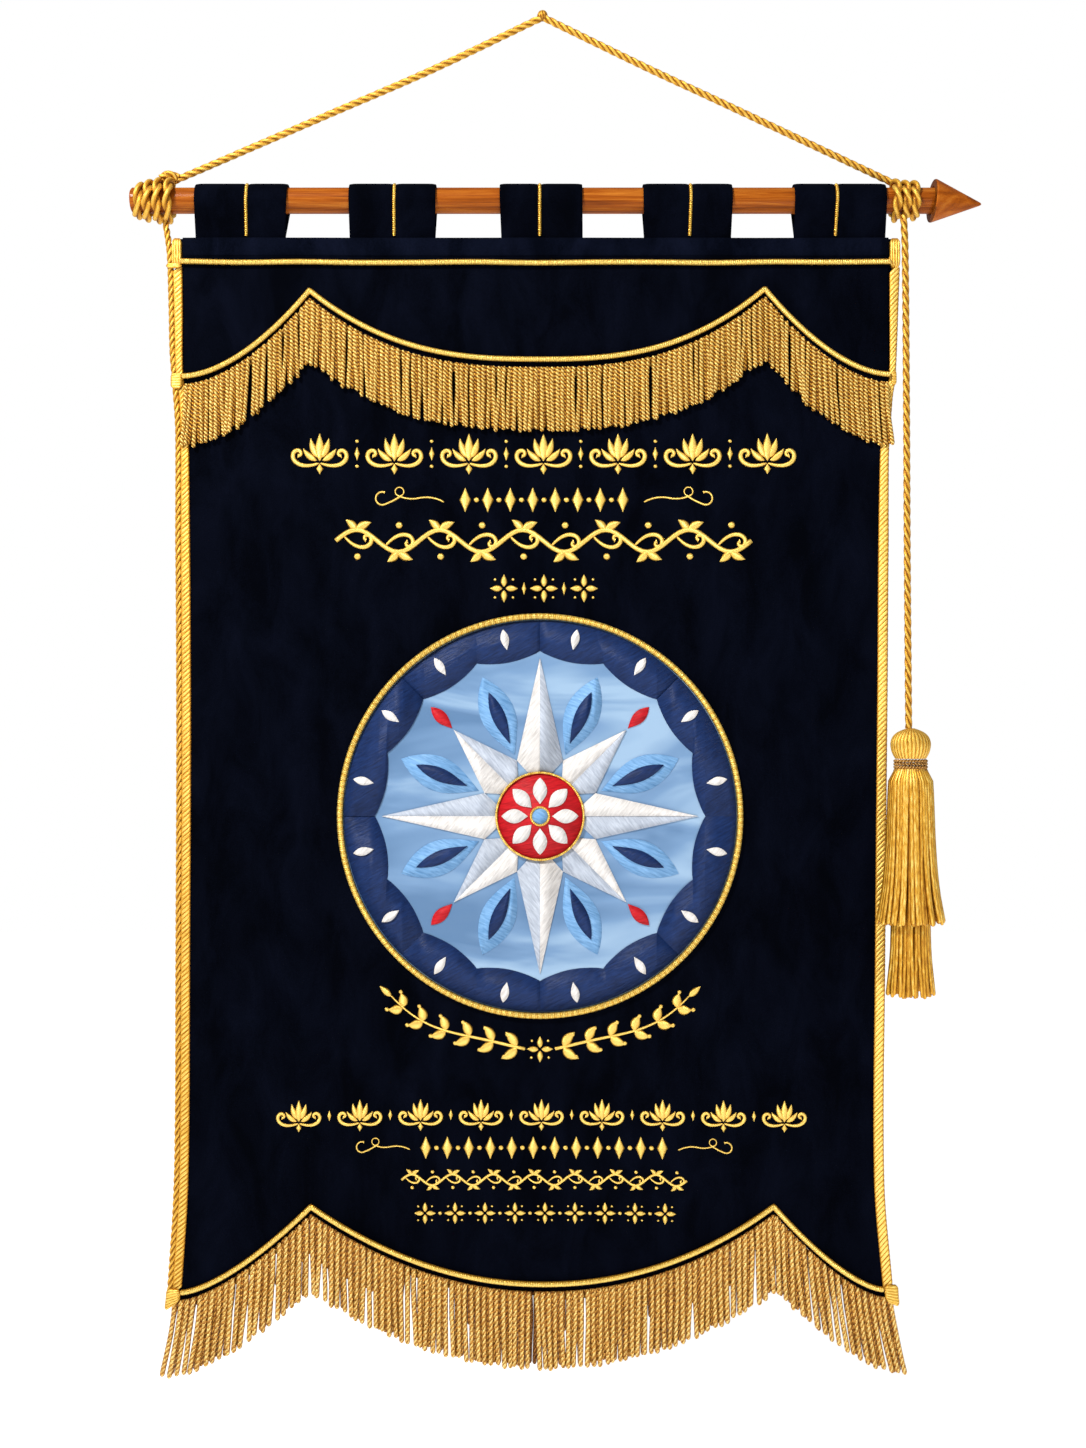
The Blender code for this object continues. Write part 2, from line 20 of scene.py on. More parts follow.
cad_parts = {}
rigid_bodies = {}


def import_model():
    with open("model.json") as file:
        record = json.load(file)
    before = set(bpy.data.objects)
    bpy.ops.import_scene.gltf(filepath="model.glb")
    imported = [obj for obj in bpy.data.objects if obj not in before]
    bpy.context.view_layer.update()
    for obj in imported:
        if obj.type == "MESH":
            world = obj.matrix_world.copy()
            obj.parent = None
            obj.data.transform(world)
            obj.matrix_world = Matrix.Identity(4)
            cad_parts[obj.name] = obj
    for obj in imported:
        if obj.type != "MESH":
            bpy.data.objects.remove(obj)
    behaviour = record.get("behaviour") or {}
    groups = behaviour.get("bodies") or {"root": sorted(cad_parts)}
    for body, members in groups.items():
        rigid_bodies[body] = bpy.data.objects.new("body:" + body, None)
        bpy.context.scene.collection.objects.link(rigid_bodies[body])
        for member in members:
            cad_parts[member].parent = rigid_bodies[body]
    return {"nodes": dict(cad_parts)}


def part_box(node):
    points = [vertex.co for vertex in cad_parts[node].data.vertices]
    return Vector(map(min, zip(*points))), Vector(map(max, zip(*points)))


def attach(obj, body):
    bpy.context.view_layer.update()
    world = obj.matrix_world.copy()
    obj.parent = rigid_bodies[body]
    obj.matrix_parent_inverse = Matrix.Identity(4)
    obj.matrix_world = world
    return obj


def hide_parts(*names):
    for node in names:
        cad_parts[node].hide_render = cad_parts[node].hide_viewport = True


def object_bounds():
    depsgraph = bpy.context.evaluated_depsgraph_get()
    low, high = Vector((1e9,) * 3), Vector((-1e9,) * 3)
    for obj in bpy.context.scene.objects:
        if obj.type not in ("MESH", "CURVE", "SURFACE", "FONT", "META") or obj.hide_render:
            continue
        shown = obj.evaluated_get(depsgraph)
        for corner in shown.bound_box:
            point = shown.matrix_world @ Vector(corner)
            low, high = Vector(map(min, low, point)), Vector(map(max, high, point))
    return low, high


for leftover in list(bpy.data.objects):
    bpy.data.objects.remove(leftover, do_unlink=True)

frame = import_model()
nodes = frame["nodes"]
cad_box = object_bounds()
print("pieces in the frame:", len(nodes))
print("overall size, mm:", [round(1000 * side) for side in cad_box[1] - cad_box[0]])


def show(name, data):
    """Puts a new object with this data into the scene."""
    made = bpy.data.objects.new(name, data)
    bpy.context.scene.collection.objects.link(made)
    return made

# %% [markdown]
# ## Camera
#
# The banner is seen square on from a metre and a half, level with the top of the medallion, so
# its vertical lines stay upright and its near pieces look only a little larger. The lens is
# worked out from the height of view that is wanted at that distance.

# %% Camera
VIEW_DISTANCE = 1.5
VIEW_HEIGHT = 1.448
VIEW_LEVEL = -0.707
camera_data = bpy.data.cameras.new("camera")
camera_data.sensor_width = 36
camera_data.lens = camera_data.sensor_width * VIEW_DISTANCE / VIEW_HEIGHT
camera = show("camera", camera_data)
camera.location = (0.0005, -VIEW_DISTANCE, VIEW_LEVEL)
camera.rotation_euler = (math.radians(90), 0, 0)
bpy.context.scene.camera = camera
print("lens, mm:", round(camera_data.lens, 2))

# %% [markdown]
# ## Studio
#
# Black velvet and gold thread need two different things from the light. The thread wants a
# broad, bright room round it, so that it glows between its strands. The velvet wants nearly
# nothing, because any light grazing it turns it grey. A dim white room gives the first. A
# strong soft lamp high on the left gives both a direction, so that every cord has a bright and
# a dark side, and a weak one low on the right opens the shadows. The room is shown whiter than
# it shines, and the pale floor glows a little, so that the banner stands before plain white.

# %% Studio
def add_lamp(name, at, towards, size, power, colour=(1, 1, 1)):
    """A soft round lamp that faces one point."""
    data = bpy.data.lights.new(name, "AREA")
    data.shape = "DISK"
    data.size = size
    data.energy = power
    data.color = colour
    lamp = show(name, data)
    lamp.location = at
    lamp.rotation_euler = (Vector(towards) - Vector(at)).to_track_quat("-Z", "Y").to_euler()


world = bpy.data.worlds.new("white room")
world.use_nodes = True
tree = world.node_tree
room = tree.nodes["Background"]
seen, choice, light_path = (tree.nodes.new(f"ShaderNode{kind}")
                            for kind in ("Background", "MixShader", "LightPath"))
room.inputs["Color"].default_value = (0.96, 0.98, 1, 1)
room.inputs["Strength"].default_value = 0.31
seen.inputs["Color"].default_value = (1, 1, 1, 1)
for output, socket in ((light_path.outputs["Is Camera Ray"], choice.inputs["Fac"]),
                       (room.outputs["Background"], choice.inputs[1]),
                       (seen.outputs["Background"], choice.inputs[2]),
                       (choice.outputs["Shader"], tree.nodes["World Output"].inputs["Surface"])):
    tree.links.new(output, socket)
bpy.context.scene.world = world
bpy.context.scene.view_settings.view_transform = "Standard"
banner_middle = (cad_box[0] + cad_box[1]) / 2
add_lamp("key lamp", (-1.0, -1.5, 0.85), banner_middle, 0.42, 62, (1, 0.99, 0.97))
add_lamp("low lamp", (0.9, -1.6, -1.1), banner_middle, 1.2, 5)

# %% Floor
FLOOR_DEPTH = 1.75
FLOOR_HALF = 6
bm = bmesh.new()
bmesh.ops.create_grid(bm, x_segments=1, y_segments=1, size=FLOOR_HALF)
bmesh.ops.translate(bm, verts=bm.verts, vec=(0, 0, -FLOOR_DEPTH))
floor_mesh = bpy.data.meshes.new("floor")
bm.to_mesh(floor_mesh)
bm.free()
pale = bpy.data.materials.new("pale floor")
pale.use_nodes = True
for setting, value in (("Base Color", (0.9, 0.9, 0.9, 1)), ("Roughness", 0.9),
                       ("Emission Color", (1, 1, 1, 1)), ("Emission Strength", 0.78)):
    pale.node_tree.nodes["Principled BSDF"].inputs[setting].default_value = value
floor_mesh.materials.append(pale)
show("floor", floor_mesh)
print("floor at depth", FLOOR_DEPTH)

# %% [markdown]
# ## Materials from nodes
#
# Every finish here is built from nodes, so it needs no picture. One small class keeps that
# readable: each of its methods adds a node or two, joins them up, and gives back what comes
# out, ready for the next.

# %% Node helpers
class Finish:
    """A material in the making."""

    def __init__(self, name):
        self.made = bpy.data.materials.new(name)
        self.made.use_nodes = True
        self.tree = self.made.node_tree

    def join(self, value, socket):
        """Links a socket, or sets a plain value."""
        if isinstance(value, bpy.types.NodeSocket):
            self.tree.links.new(value, socket)
        else:
            socket.default_value = value

    def node(self, kind, output, inputs=None, **settings):
        added = self.tree.nodes.new(f"ShaderNode{kind}")
        for key, value in settings.items():
            setattr(added, key, value)
        for key, value in (inputs or {}).items():
            self.join(value, added.inputs[key])
        return added.outputs[output]

    def where(self, kind):
        """The piece's own coordinates: its UV, or Object."""
        return self.node("TexCoord", kind)

    def part(self, vector, axis):
        return self.node("SeparateXYZ", axis, {"Vector": vector})

    def stretched(self, vector, scale=(1, 1, 1), turn=(0, 0, 0)):
        return self.node("Mapping", "Vector",
                         {"Vector": vector, "Rotation": turn, "Scale": scale})

    def noise(self, vector, scale=1.0, detail=2.0, roughness=0.5, distortion=0.0, **settings):
        return self.node("TexNoise", "Fac",
                         {"Vector": vector, "Scale": scale, "Detail": detail,
                          "Roughness": roughness, "Distortion": distortion}, **settings)

    # crest holds painted light: low where shade falls between strands, high on tops and where a
    # piece is painted lit.
    def crest(self):
        return self.node("Attribute", "Fac", attribute_name="crest")

    def calculate(self, operation, *values):
        return self.node("Math", 0, dict(enumerate(values)), operation=operation)

    def total(self, *terms):
        """The sum of (value, weight) terms."""
        result, *others = [self.calculate("MULTIPLY", *term) for term in terms]
        for other in others:
            result = self.calculate("ADD", result, other)
        return result

    def wave(self, turns):
        """From 1 down to 0 and back with every turn."""
        angle = self.calculate("MULTIPLY", turns, 2 * math.pi)
        return self.calculate("MULTIPLY_ADD", self.calculate("COSINE", angle), 0.5, 0.5)

    def ramp(self, factor, positions, colours):
        """A colour ramp with these colours at these positions."""
        colour = self.node("ValToRGB", "Color", {"Fac": factor})
        steps = colour.node.color_ramp.elements
        while len(steps) < len(positions):
            steps.new(0.5)
        for step, position, tint in zip(steps, positions, colours):
            step.position = position
            step.color = (*tint, 1)
        return colour

    def finish(self, colour, height, relief, distance, **values):
        """Joins the colour and the bump to the shader, and sets its other values."""
        shader = self.tree.nodes["Principled BSDF"]
        self.join(colour, shader.inputs["Base Color"])
        self.join(self.node("Bump", "Normal", {"Height": height, "Strength": relief,
                                               "Distance": distance}), shader.inputs["Normal"])
        for key, value in values.items():
            shader.inputs[key.replace("_", " ")].default_value = value
        return self.made


def blend(a, b, t):
    return a + (b - a) * t


def dimmed(colours, share):
    return [tuple(share * part for part in colour) for colour in colours]


# %% [markdown]
# ## Gold thread
#
# All the trim is rayon thread the colour of old gold. It is painted pale on top and where it faces
# the lamp, as painted highlight, and deep amber where strands press together, as painted shade.
# Its fibres all run one way, along the thread. So the material reads each piece's own UV map,
# laid out in metres with U across the fibres and V along them, and an attribute named crest,
# which is 0 deep between strands and 1 on top, and carries that painted light and shade.

# %% Gold thread material
GOLDS = ((0.105, 0.028, 0.001), (0.42, 0.160, 0.005), (0.74, 0.385, 0.032), (0.98, 0.70, 0.17))


def gold_thread(name, fibre, run, relief, ends=(0.18, 0.92), colours=GOLDS):
    """Gold thread whose fibres are so wide and so long, in metres."""
    made = Finish(name)
    fibres = made.noise(made.stretched(made.where("UV"), (1 / fibre, 1 / run, 1)),
                        roughness=0.55, noise_dimensions="2D")
    # The ramp reads crest, so the grooves are painted dark as shade and the tops pale as
    # highlight.
    height = made.total((fibres, 0.70), (made.crest(), 0.50))
    positions = (ends[0], blend(*ends, 0.38), blend(*ends, 0.72), ends[1])
    return made.finish(made.ramp(height, positions, colours), fibres, relief, fibre * 0.8,
                       Roughness=0.46, Metallic=0.55, Specular_IOR_Level=0.5)


cord_gold = gold_thread("twisted gold cord", fibre=0.0006, run=0.006, relief=0.6,
                        ends=(0.28, 1.00))
print("first finish:", cord_gold.name)

# %% [markdown]
# ## From bmesh to piece
#
# Each new piece ends the same way: its bmesh becomes an object at the origin, rides on the
# banner's one body, and hides the CAD solids it stands for.

# %% Finish a piece
def add_piece(name, bm, finish, replaces=(), outward=True):
    """Makes the bmesh one named piece of the banner."""
    if outward:
        bmesh.ops.recalc_face_normals(bm, faces=bm.faces)
    mesh = bpy.data.meshes.new(name)
    bm.to_mesh(mesh)
    bm.free()
    mesh.materials.append(finish)
    mesh.shade_smooth()
    piece = show(name, mesh)
    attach(piece, "root")
    if replaces:
        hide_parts(*replaces)
    mesh.calc_loop_triangles()
    print(f"{name}: {len(mesh.loop_triangles)} triangles")
    return piece


def add_trim(node, ending, bm, finish=cord_gold):
    """A piece of gold trim that stands for one solid and is named after it."""
    return add_piece(f"{node}_{ending}", bm, finish, [node])


def thicken(piece, thickness, offset=-1, rounded=False):
    """Gives a sheet its thickness, behind its face unless the offset says otherwise."""
    wall = piece.modifiers.new("thickness", "SOLIDIFY")
    wall.thickness = thickness
    wall.offset = offset
    if rounded:
        rounding = piece.modifiers.new("rounded edge", "BEVEL")
        rounding.width = thickness * 0.3
        rounding.segments = 2
        rounding.limit_method = "ANGLE"
        rounding.angle_limit = math.radians(60)
    return piece


# %% [markdown]
# ## Twisted cord
#
# A cord like this is three strands laid round each other. Three separate tubes would show the
# twist, but most of each would lie hidden inside. One skin is enough: its section is the
# outline of three circles that touch, and it turns as it runs along the cord. The section
# starts as a circle, is pulled into its lobes, and is extruded ring by ring.

# %% Smooth routes
def through(rows, key):
    """The other columns of a table at this key, on a smooth curve through its rows."""
    last = len(rows) - 2
    i = next((n for n in range(last) if key <= rows[n + 1][0]), last)
    span = rows[i + 1][0] - rows[i][0]
    t = (key - rows[i][0]) / span

    def slope(n, column):
        low, high = max(n - 1, 0), min(n + 1, len(rows) - 1)
        return (rows[high][column] - rows[low][column]) / (rows[high][0] - rows[low][0])

    return [
        (2 * t**3 - 3 * t**2 + 1) * rows[i][c]
        + (t**3 - 2 * t**2 + t) * span * slope(i, c)
        + (3 * t**2 - 2 * t**3) * rows[i + 1][c]
        + (t**3 - t**2) * span * slope(i + 1, c)
        for c in range(1, len(rows[0]))
    ]


def measured(points):
    """Rows of (distance so far, x, y, z)."""
    rows = [(0.0, *points[0])]
    for before, here in zip(points, points[1:]):
        rows.append((rows[-1][0] + (Vector(here) - Vector(before)).length, *here))
    return rows


def even_points(points, step):
    """Points a step apart on the smooth curve through these."""
    rows = measured(points)
    count = max(2, round(rows[-1][0] / step))
    return [Vector(through(rows, rows[-1][0] * n / count)) for n in range(count + 1)]


def length_of(points):
    return measured(points)[-1][0]


# %% Lay a grid
def new_bmesh():
    """An empty bmesh with the UV map and the crest attribute that the finishes read."""
    bm = bmesh.new()
    bm.loops.layers.uv.verify()
    bm.verts.layers.float.new("crest")
    return bm


def lay_grid(bm, columns, rows, place):
    """A grid whose corner (i, j) goes where place(i, j) says: (point, (u, v), crest)."""
    uv = bm.loops.layers.uv.verify()
    crest = bm.verts.layers.float["crest"]
    made = bmesh.ops.create_grid(bm, x_segments=columns, y_segments=rows, size=1)["verts"]
    corners, maps = {}, {}
    for vert in made:
        i = round((vert.co.x + 1) / 2 * columns)
        j = round((1 - vert.co.y) / 2 * rows)
        vert.co, maps[vert], vert[crest] = place(i, j)
        corners[i, j] = vert
    for face in {face for vert in made for face in vert.link_faces}:
        for loop in face.loops:
            loop[uv].uv = maps[loop.vert]
    return corners


def close_round(bm, corners, columns, rows, caps):
    """Joins a grid's last column to its first, and closes its rows with these numbers."""
    bmesh.ops.weld_verts(bm, targetmap={corners[columns, j]: corners[0, j]
                                        for j in range(rows + 1)})
    for j in caps:
        bm.faces.new([corners[i, j] for i in range(columns)])


# %% Roll a grid into a tube
def travelling_frames(points, first_side, closed=False):
    """(point, side, front) along a route, turned no more than the route itself turns."""
    frames = []
    side = Vector(first_side)
    last = len(points) - 1
    for n, point in enumerate(points):
        before = points[n - 1] if n or not closed else points[last - 1]
        after = points[n + 1] if n < last else points[1] if closed else point
        ahead = (after - (before if n or closed else point)).normalized()
        side = (side - ahead * side.dot(ahead)).normalized()
        frames.append((point, side, ahead.cross(side)))
    return frames


def roll(bm, points, facets, section, first_side=(1, 0, 0), closed=False):
    """A grid rolled round the route. section(n, angle) gives (across, out, u, crest).

    V is the distance along the route. A closed route repeats its first point at its end.
    """
    along = [row[0] for row in measured(points)]
    frames = travelling_frames(points, first_side, closed)

    def place(i, j):
        point, side, front = frames[j]
        x, y, u, crest = section(j, 2 * math.pi * i / facets)
        return point + side * x + front * y, (u, along[j]), crest

    last = len(points) - 1
    corners = lay_grid(bm, facets, last, place)
    if closed:
        joins = {corners[facets, j]: corners[0, j] for j in range(last)}
        joins |= {corners[i, last]: corners[i % facets, 0] for i in range(facets + 1)}
        bmesh.ops.weld_verts(bm, targetmap=joins)
    else:
        close_round(bm, corners, facets, last, (0, last))


# %% Laid cord
def lobed(angle, strands):
    """Distance to the outline of touching round strands, for a cord of radius 1."""
    half = math.pi / strands
    strand = 1 / (1 + 1 / math.sin(half))
    middle = 1 - strand
    off = (angle + half) % (2 * half) - half
    inside = max(0.0, strand**2 - (middle * math.sin(off)) ** 2)
    return middle * math.cos(off) + math.sqrt(inside), math.cos(off * strands / 2)


LOBE_FACETS = 8


def laid_cord(bm, points, radius, lay, strands=3, fill=0.45, closed=False,
              first_side=(1, 0, 0)):
    """Strands laid round each other. lay is the length of one turn, negative for a left lay.

    fill softens the grooves: 0 is bare touching circles, and 1 a plain round cord.
    """
    along = [row[0] for row in measured(points)]
    if closed:
        lay = along[-1] / round(along[-1] / lay)

    def section(n, angle):
        reach, crest = lobed(angle, strands)
        reach = radius * (fill + (1 - fill) * reach)
        turned = angle + 2 * math.pi * along[n] / lay
        # crest**0.8 darkens the grooves between strands: painted shade.
        return (reach * math.cos(turned), reach * math.sin(turned),
                angle * radius + along[n] * 0.35, crest**0.8)

    roll(bm, points, LOBE_FACETS * strands, section, first_side, closed)


# %% [markdown]
# ## The three hanging cords
#
# One cord runs from the left lashing up to the knot at the hook and down to the right lashing.
# The weight of the banner holds both halves almost straight. A second length hangs down on the
# right and carries the tassel. The routes are those that the solids follow, and at the top they
# run on into the knot.

# %% Hanging cords
CORD_DIAMETER = 0.0066
CORD_FULLNESS = 1.08
CORD_STEP = 0.0017
HANGER_LAY = 0.027
TASSEL_LAY = -0.033
HANGER_LEFT = ((-0.3683, 0, -0.1640), (-0.3325, 0, -0.1487), (-0.2125, 0, -0.0970),
               (-0.1125, 0, -0.0538), (-0.0018, 0, -0.0011))
HANGER_RIGHT = ((0.3497, 0, -0.1658), (0.1775, 0, -0.0848), (0.1075, 0, -0.0523),
                (0.0018, 0, -0.0009))
TASSEL_CORD = ((0.3586, -0.0098, -0.2022), (0.3589, -0.0150, -0.2350), (0.3592, -0.0195, -0.3850),
               (0.3594, -0.0220, -0.5400), (0.3604, -0.0238, -0.7113))


def hanging_cord(name, route, lay):
    points = even_points(route, CORD_STEP)
    bm = new_bmesh()
    laid_cord(bm, points, CORD_FULLNESS * CORD_DIAMETER / 2, lay)
    return add_trim(name, "laid", bm), points


hanger_left, left_path = hanging_cord("hanger_cord_left", HANGER_LEFT, HANGER_LAY)
hanger_right, right_path = hanging_cord("hanger_cord_right", HANGER_RIGHT, HANGER_LAY)
tassel_cord, tassel_path = hanging_cord("tassel_cord", TASSEL_CORD, TASSEL_LAY)
for label, path in (("left", left_path), ("right", right_path), ("tassel", tassel_path)):
    print(label, "cord, mm:", round(1000 * length_of(path)))

# %% [markdown]
# ## How the cloth hangs
#
# The panel hangs from the rod in very soft vertical folds, full at the hem and none at the top.
# Everything sewn to it lies on that same folded surface, a little in front of it. So one
# function gives the surface, and two more give the banner's sides and its scalloped edges; the
# cloth, the braid, the piping and the fringe are all laid out with them. These are the figures
# that the solids were made from. Each row of the sides is a depth below the hook with the left
# and the right at it, and each fold is a height, a wavelength and the place of a crest.

# %% The hanging surface
HEADING_DEPTH = 0.2222
HEM_DEPTH = 1.2750
SIDES = (
    (0.2222, -0.3602, 0.3464), (0.2920, -0.3592, 0.3466), (0.3590, -0.3588, 0.3462),
    (0.3830, -0.3550, 0.3425), (0.4430, -0.3528, 0.3370), (0.6830, -0.3508, 0.3344),
    (0.9430, -0.3515, 0.3322), (1.1630, -0.3531, 0.3313), (1.2750, -0.3600, 0.3405),
)
FOLDS = ((0.0042, 0.480, -0.030), (0.0016, 0.285, 0.110))
PANEL_FRONT = 0.0010
OVERLAY_FRONT = 0.0030
GAP = 0.0004


def drape(x, depth):
    """How far the folded cloth lies behind the rod's plane (+Y) at this place."""
    fullness = max(0.0, (depth - HEADING_DEPTH) / (HEM_DEPTH - HEADING_DEPTH))
    return fullness * sum(height * math.cos(2 * math.pi * (x - crest) / wavelength)
                          for height, wavelength, crest in FOLDS)


def on_cloth(x, depth, lift):
    """A point so far in front of the middle of the cloth."""
    return Vector((x, drape(x, depth) - lift, -depth))


def extrude_back(bm, corners, lift):
    """Extrudes a grid back to a flat face so far in front of the middle of the cloth."""
    faces = list(dict.fromkeys(face for vert in corners.values() for face in vert.link_faces))
    made = bmesh.ops.extrude_face_region(bm, geom=faces, use_keep_orig=True)["geom"]
    for vert in made:
        if isinstance(vert, bmesh.types.BMVert):
            vert.co.y = drape(vert.co.x, -vert.co.z) - lift
    # The operator leaves its new faces in an order of its own. Their lowest and highest corner
    # numbers put them in one that is the same each run.
    bm.verts.index_update()
    count = len(bm.verts)
    bm.faces.sort(key=lambda face: min(vert.index for vert in face.verts) * count
                  + max(vert.index for vert in face.verts))


def across(u, depth):
    """x at u, where 0 and 1 are the inner edges of the side braids."""
    left, right = through(SIDES, min(max(depth, SIDES[0][0]), SIDES[-1][0]))
    return blend(left, right, u)


# %% The scalloped edges
VALANCE_EDGE = {
    "points": ((-0.3575, 0.3605), (-0.2321, 0.2752), (-0.0025, 0.3436), (0.2213, 0.2737),
               (0.3450, 0.3585)),
    "side_power": 1.75,
    "middle_power": 2.70,
}
HEM_EDGE = {
    "points": ((-0.3600, 1.2730), (-0.2306, 1.1875), (0.0020, 1.2668), (0.2298, 1.1866),
               (0.3395, 1.2712)),
    "side_power": 1.47,
    "middle_power": 2.10,
}
CLOTH_BELOW_PIPING = 0.0125
FRINGE_BELOW_PIPING = 0.0075


def scallop(edge, x):
    """Depth of a scalloped edge's piping at x."""
    left, cusp_left, middle, cusp_right, right = edge["points"]
    x = min(max(x, left[0]), right[0])
    if x < cusp_left[0]:
        low, cusp, power = left, cusp_left, edge["side_power"]
    elif x > cusp_right[0]:
        low, cusp, power = right, cusp_right, edge["side_power"]
    else:
        low, power = middle, edge["middle_power"]
        cusp = cusp_left if x < middle[0] else cusp_right
    return blend(low[1], cusp[1], (abs(x - low[0]) / abs(cusp[0] - low[0])) ** power)


def edge_depth(edge, u):
    """Depth of a scalloped edge's piping on the column u."""
    depth = edge["points"][0][1]
    for _ in range(5):
        depth = scallop(edge, across(u, depth))
    return depth


def cusp_columns(edge):
    """u of an edge's two cusps."""
    spots = []
    for x, depth in edge["points"][1::2]:
        left, right = across(0, depth), across(1, depth)
        spots.append((x - left) / (right - left))
    return spots


def spread_columns(count, first=0.0, last=1.0):
    """Columns from first to last, with one on every cusp."""
    cusps = cusp_columns(VALANCE_EDGE) + cusp_columns(HEM_EDGE)
    regular = [blend(first, last, n / count) for n in range(count + 1)]
    inside = [u for u in regular[1:-1] if min(abs(u - cusp) for cusp in cusps) > 0.3 / count]
    return sorted([first, *inside, *cusps, last])


print("piping depth at mid hem, mm:", round(1000 * edge_depth(HEM_EDGE, 0.5)))

# %% [markdown]
# ## Velvet
#
# Velvet is a forest of upright fibres. It drinks light that falls straight on it and gives some
# back at the edges, where the fibres are seen from the side, so it has almost no gloss and a
# little sheen. The nap is never quite even: the hand that brushed it left broad, soft marks.
# The colour is a navy so dark that it reads as black.

# %% Velvet material
NAVIES = ((0.0003, 0.0006, 0.0019), (0.0020, 0.0029, 0.0080))


def velvet_finish(name, brightness=1.0):
    made = Finish(name)
    place = made.where("Object")
    marks = made.noise(made.stretched(place, (1.0, 1.0, 0.45)), 26.0, 5.0, 0.6, 0.5)
    nap = made.noise(place, 900.0)
    colour = made.ramp(made.total((marks, 0.75), (nap, 0.25)), (0.38, 0.72),
                       dimmed(NAVIES, brightness))
    return made.finish(colour, nap, 0.5, 0.0004, Roughness=0.95, Specular_IOR_Level=0.02,
                       Sheen_Weight=0.012, Sheen_Roughness=0.35,
                       Sheen_Tint=(0.45, 0.55, 1.0, 1.0))


velvet = velvet_finish("navy velvet")
# A copy of the velvet 1.9 times as light paints the sheen on the heading's rounded fold: painted
# highlight.
sheen_painted_velvet = velvet_finish("navy velvet, painted sheen", 1.9)

# %% [markdown]
# ## Panel and valance
#
# Each cloth is a grid laid on the hanging surface, whose bottom row follows the scallops. A
# column stands on each cusp, or the point would be blunt. The panel's front face is laid out,
# and a Solidify modifier gives it its thickness behind, because a cloth has one true face and
# the trim is sewn to that.

# %% Cut a cloth
RIPPLE = 0.00035


def scalloped_cloth(node, edge, us, rows, front, thickness, outer=0.0):
    """A cloth from the heading down to its scalloped edge, with its front face so far out.

    outer widens it beyond the braids' inner edges, in metres.
    """
    bm = new_bmesh()

    def place(i, j):
        u = us[i]
        hem = edge_depth(edge, min(max(u, 0), 1)) + CLOTH_BELOW_PIPING
        depth = blend(HEADING_DEPTH, hem, j / rows)
        x = across(u, depth) + outer * (2 * u - 1)
        ripple = RIPPLE * noise.noise(Vector((x * 14, depth * 6, front * 900)))
        return on_cloth(x, depth, front + ripple), (x, -depth), 1.0

    lay_grid(bm, len(us) - 1, rows, place)
    cloth = add_piece(f"velvet_{node}", bm, velvet, [node], outward=False)
    return thicken(cloth, thickness, rounded=True)


PANEL_OUTER = 0.0055
panel = scalloped_cloth("panel", HEM_EDGE, spread_columns(84), 90, PANEL_FRONT, 0.0020,
                        PANEL_OUTER)
valance = scalloped_cloth("valance", VALANCE_EDGE, spread_columns(84, 0.0025, 0.9975), 22,
                          OVERLAY_FRONT, 0.0016)

# %% Heading fold
HEADING_FOLD_DEPTH = 0.2405
FOLD_COLUMNS, FOLD_ROWS = 60, 8
bm = new_bmesh()


def heading_place(i, j):
    u, t = i / FOLD_COLUMNS, j / FOLD_ROWS
    depth = blend(HEADING_DEPTH - 0.0006, HEADING_FOLD_DEPTH, t)
    if j in (0, FOLD_ROWS):
        depth += 0.0004 * noise.noise(Vector((u * 9, 0.5, 8.1)))
    swell = 0.0009 * math.sin(math.pi * t) ** 0.5
    return on_cloth(across(0.0015 + 0.997 * u, depth), depth, OVERLAY_FRONT + swell), (u, t), 1.0


lay_grid(bm, FOLD_COLUMNS, FOLD_ROWS, heading_place)
fold = thicken(add_piece("heading_fold", bm, sheen_painted_velvet, outward=False), 0.0008)

# %% [markdown]
# ## Tabs over the rod
#
# Five velvet tabs carry the banner. Each is one strip, folded over the rod with both tails
# sewn behind the top of the panel. Down the middle runs a seam with gold piping in it, so the
# velvet dips there. A route bent round the rod carries the strip, and the dip is pressed into
# the columns nearest to the seam. Each row of figures gives a tab's left and right on the rod,
# then its left and right at the heading, then its seam on the rod and at the heading.

# %% Bend the tabs
ROD_RADIUS = 0.0125
ROD_DEPTH = 0.1838
TABS = (
    (-0.3452, -0.2535, -0.3476, -0.2576, -0.2936, -0.2966),
    (-0.1922, -0.1060, -0.1932, -0.1073, -0.1470, -0.1486),
    (-0.0425, 0.0395, -0.0413, 0.0402, -0.0028, -0.0028),
    (0.1000, 0.1885, 0.1017, 0.1889, 0.1470, 0.1474),
    (0.2500, 0.3412, 0.2521, 0.3435, 0.2920, 0.2932),
)
TAB_THICKNESS = 0.0026
TAB_EASE = 0.0011
TAB_MEETING_DEPTH = 0.2180
TAB_TAIL_DEPTH = 0.2400
TAB_COLUMNS = 22
SEAM_HALF = 0.0028
SEAM_DIP, EDGE_DIP, EDGE_REACH = 0.0011, 0.0007, 0.0022


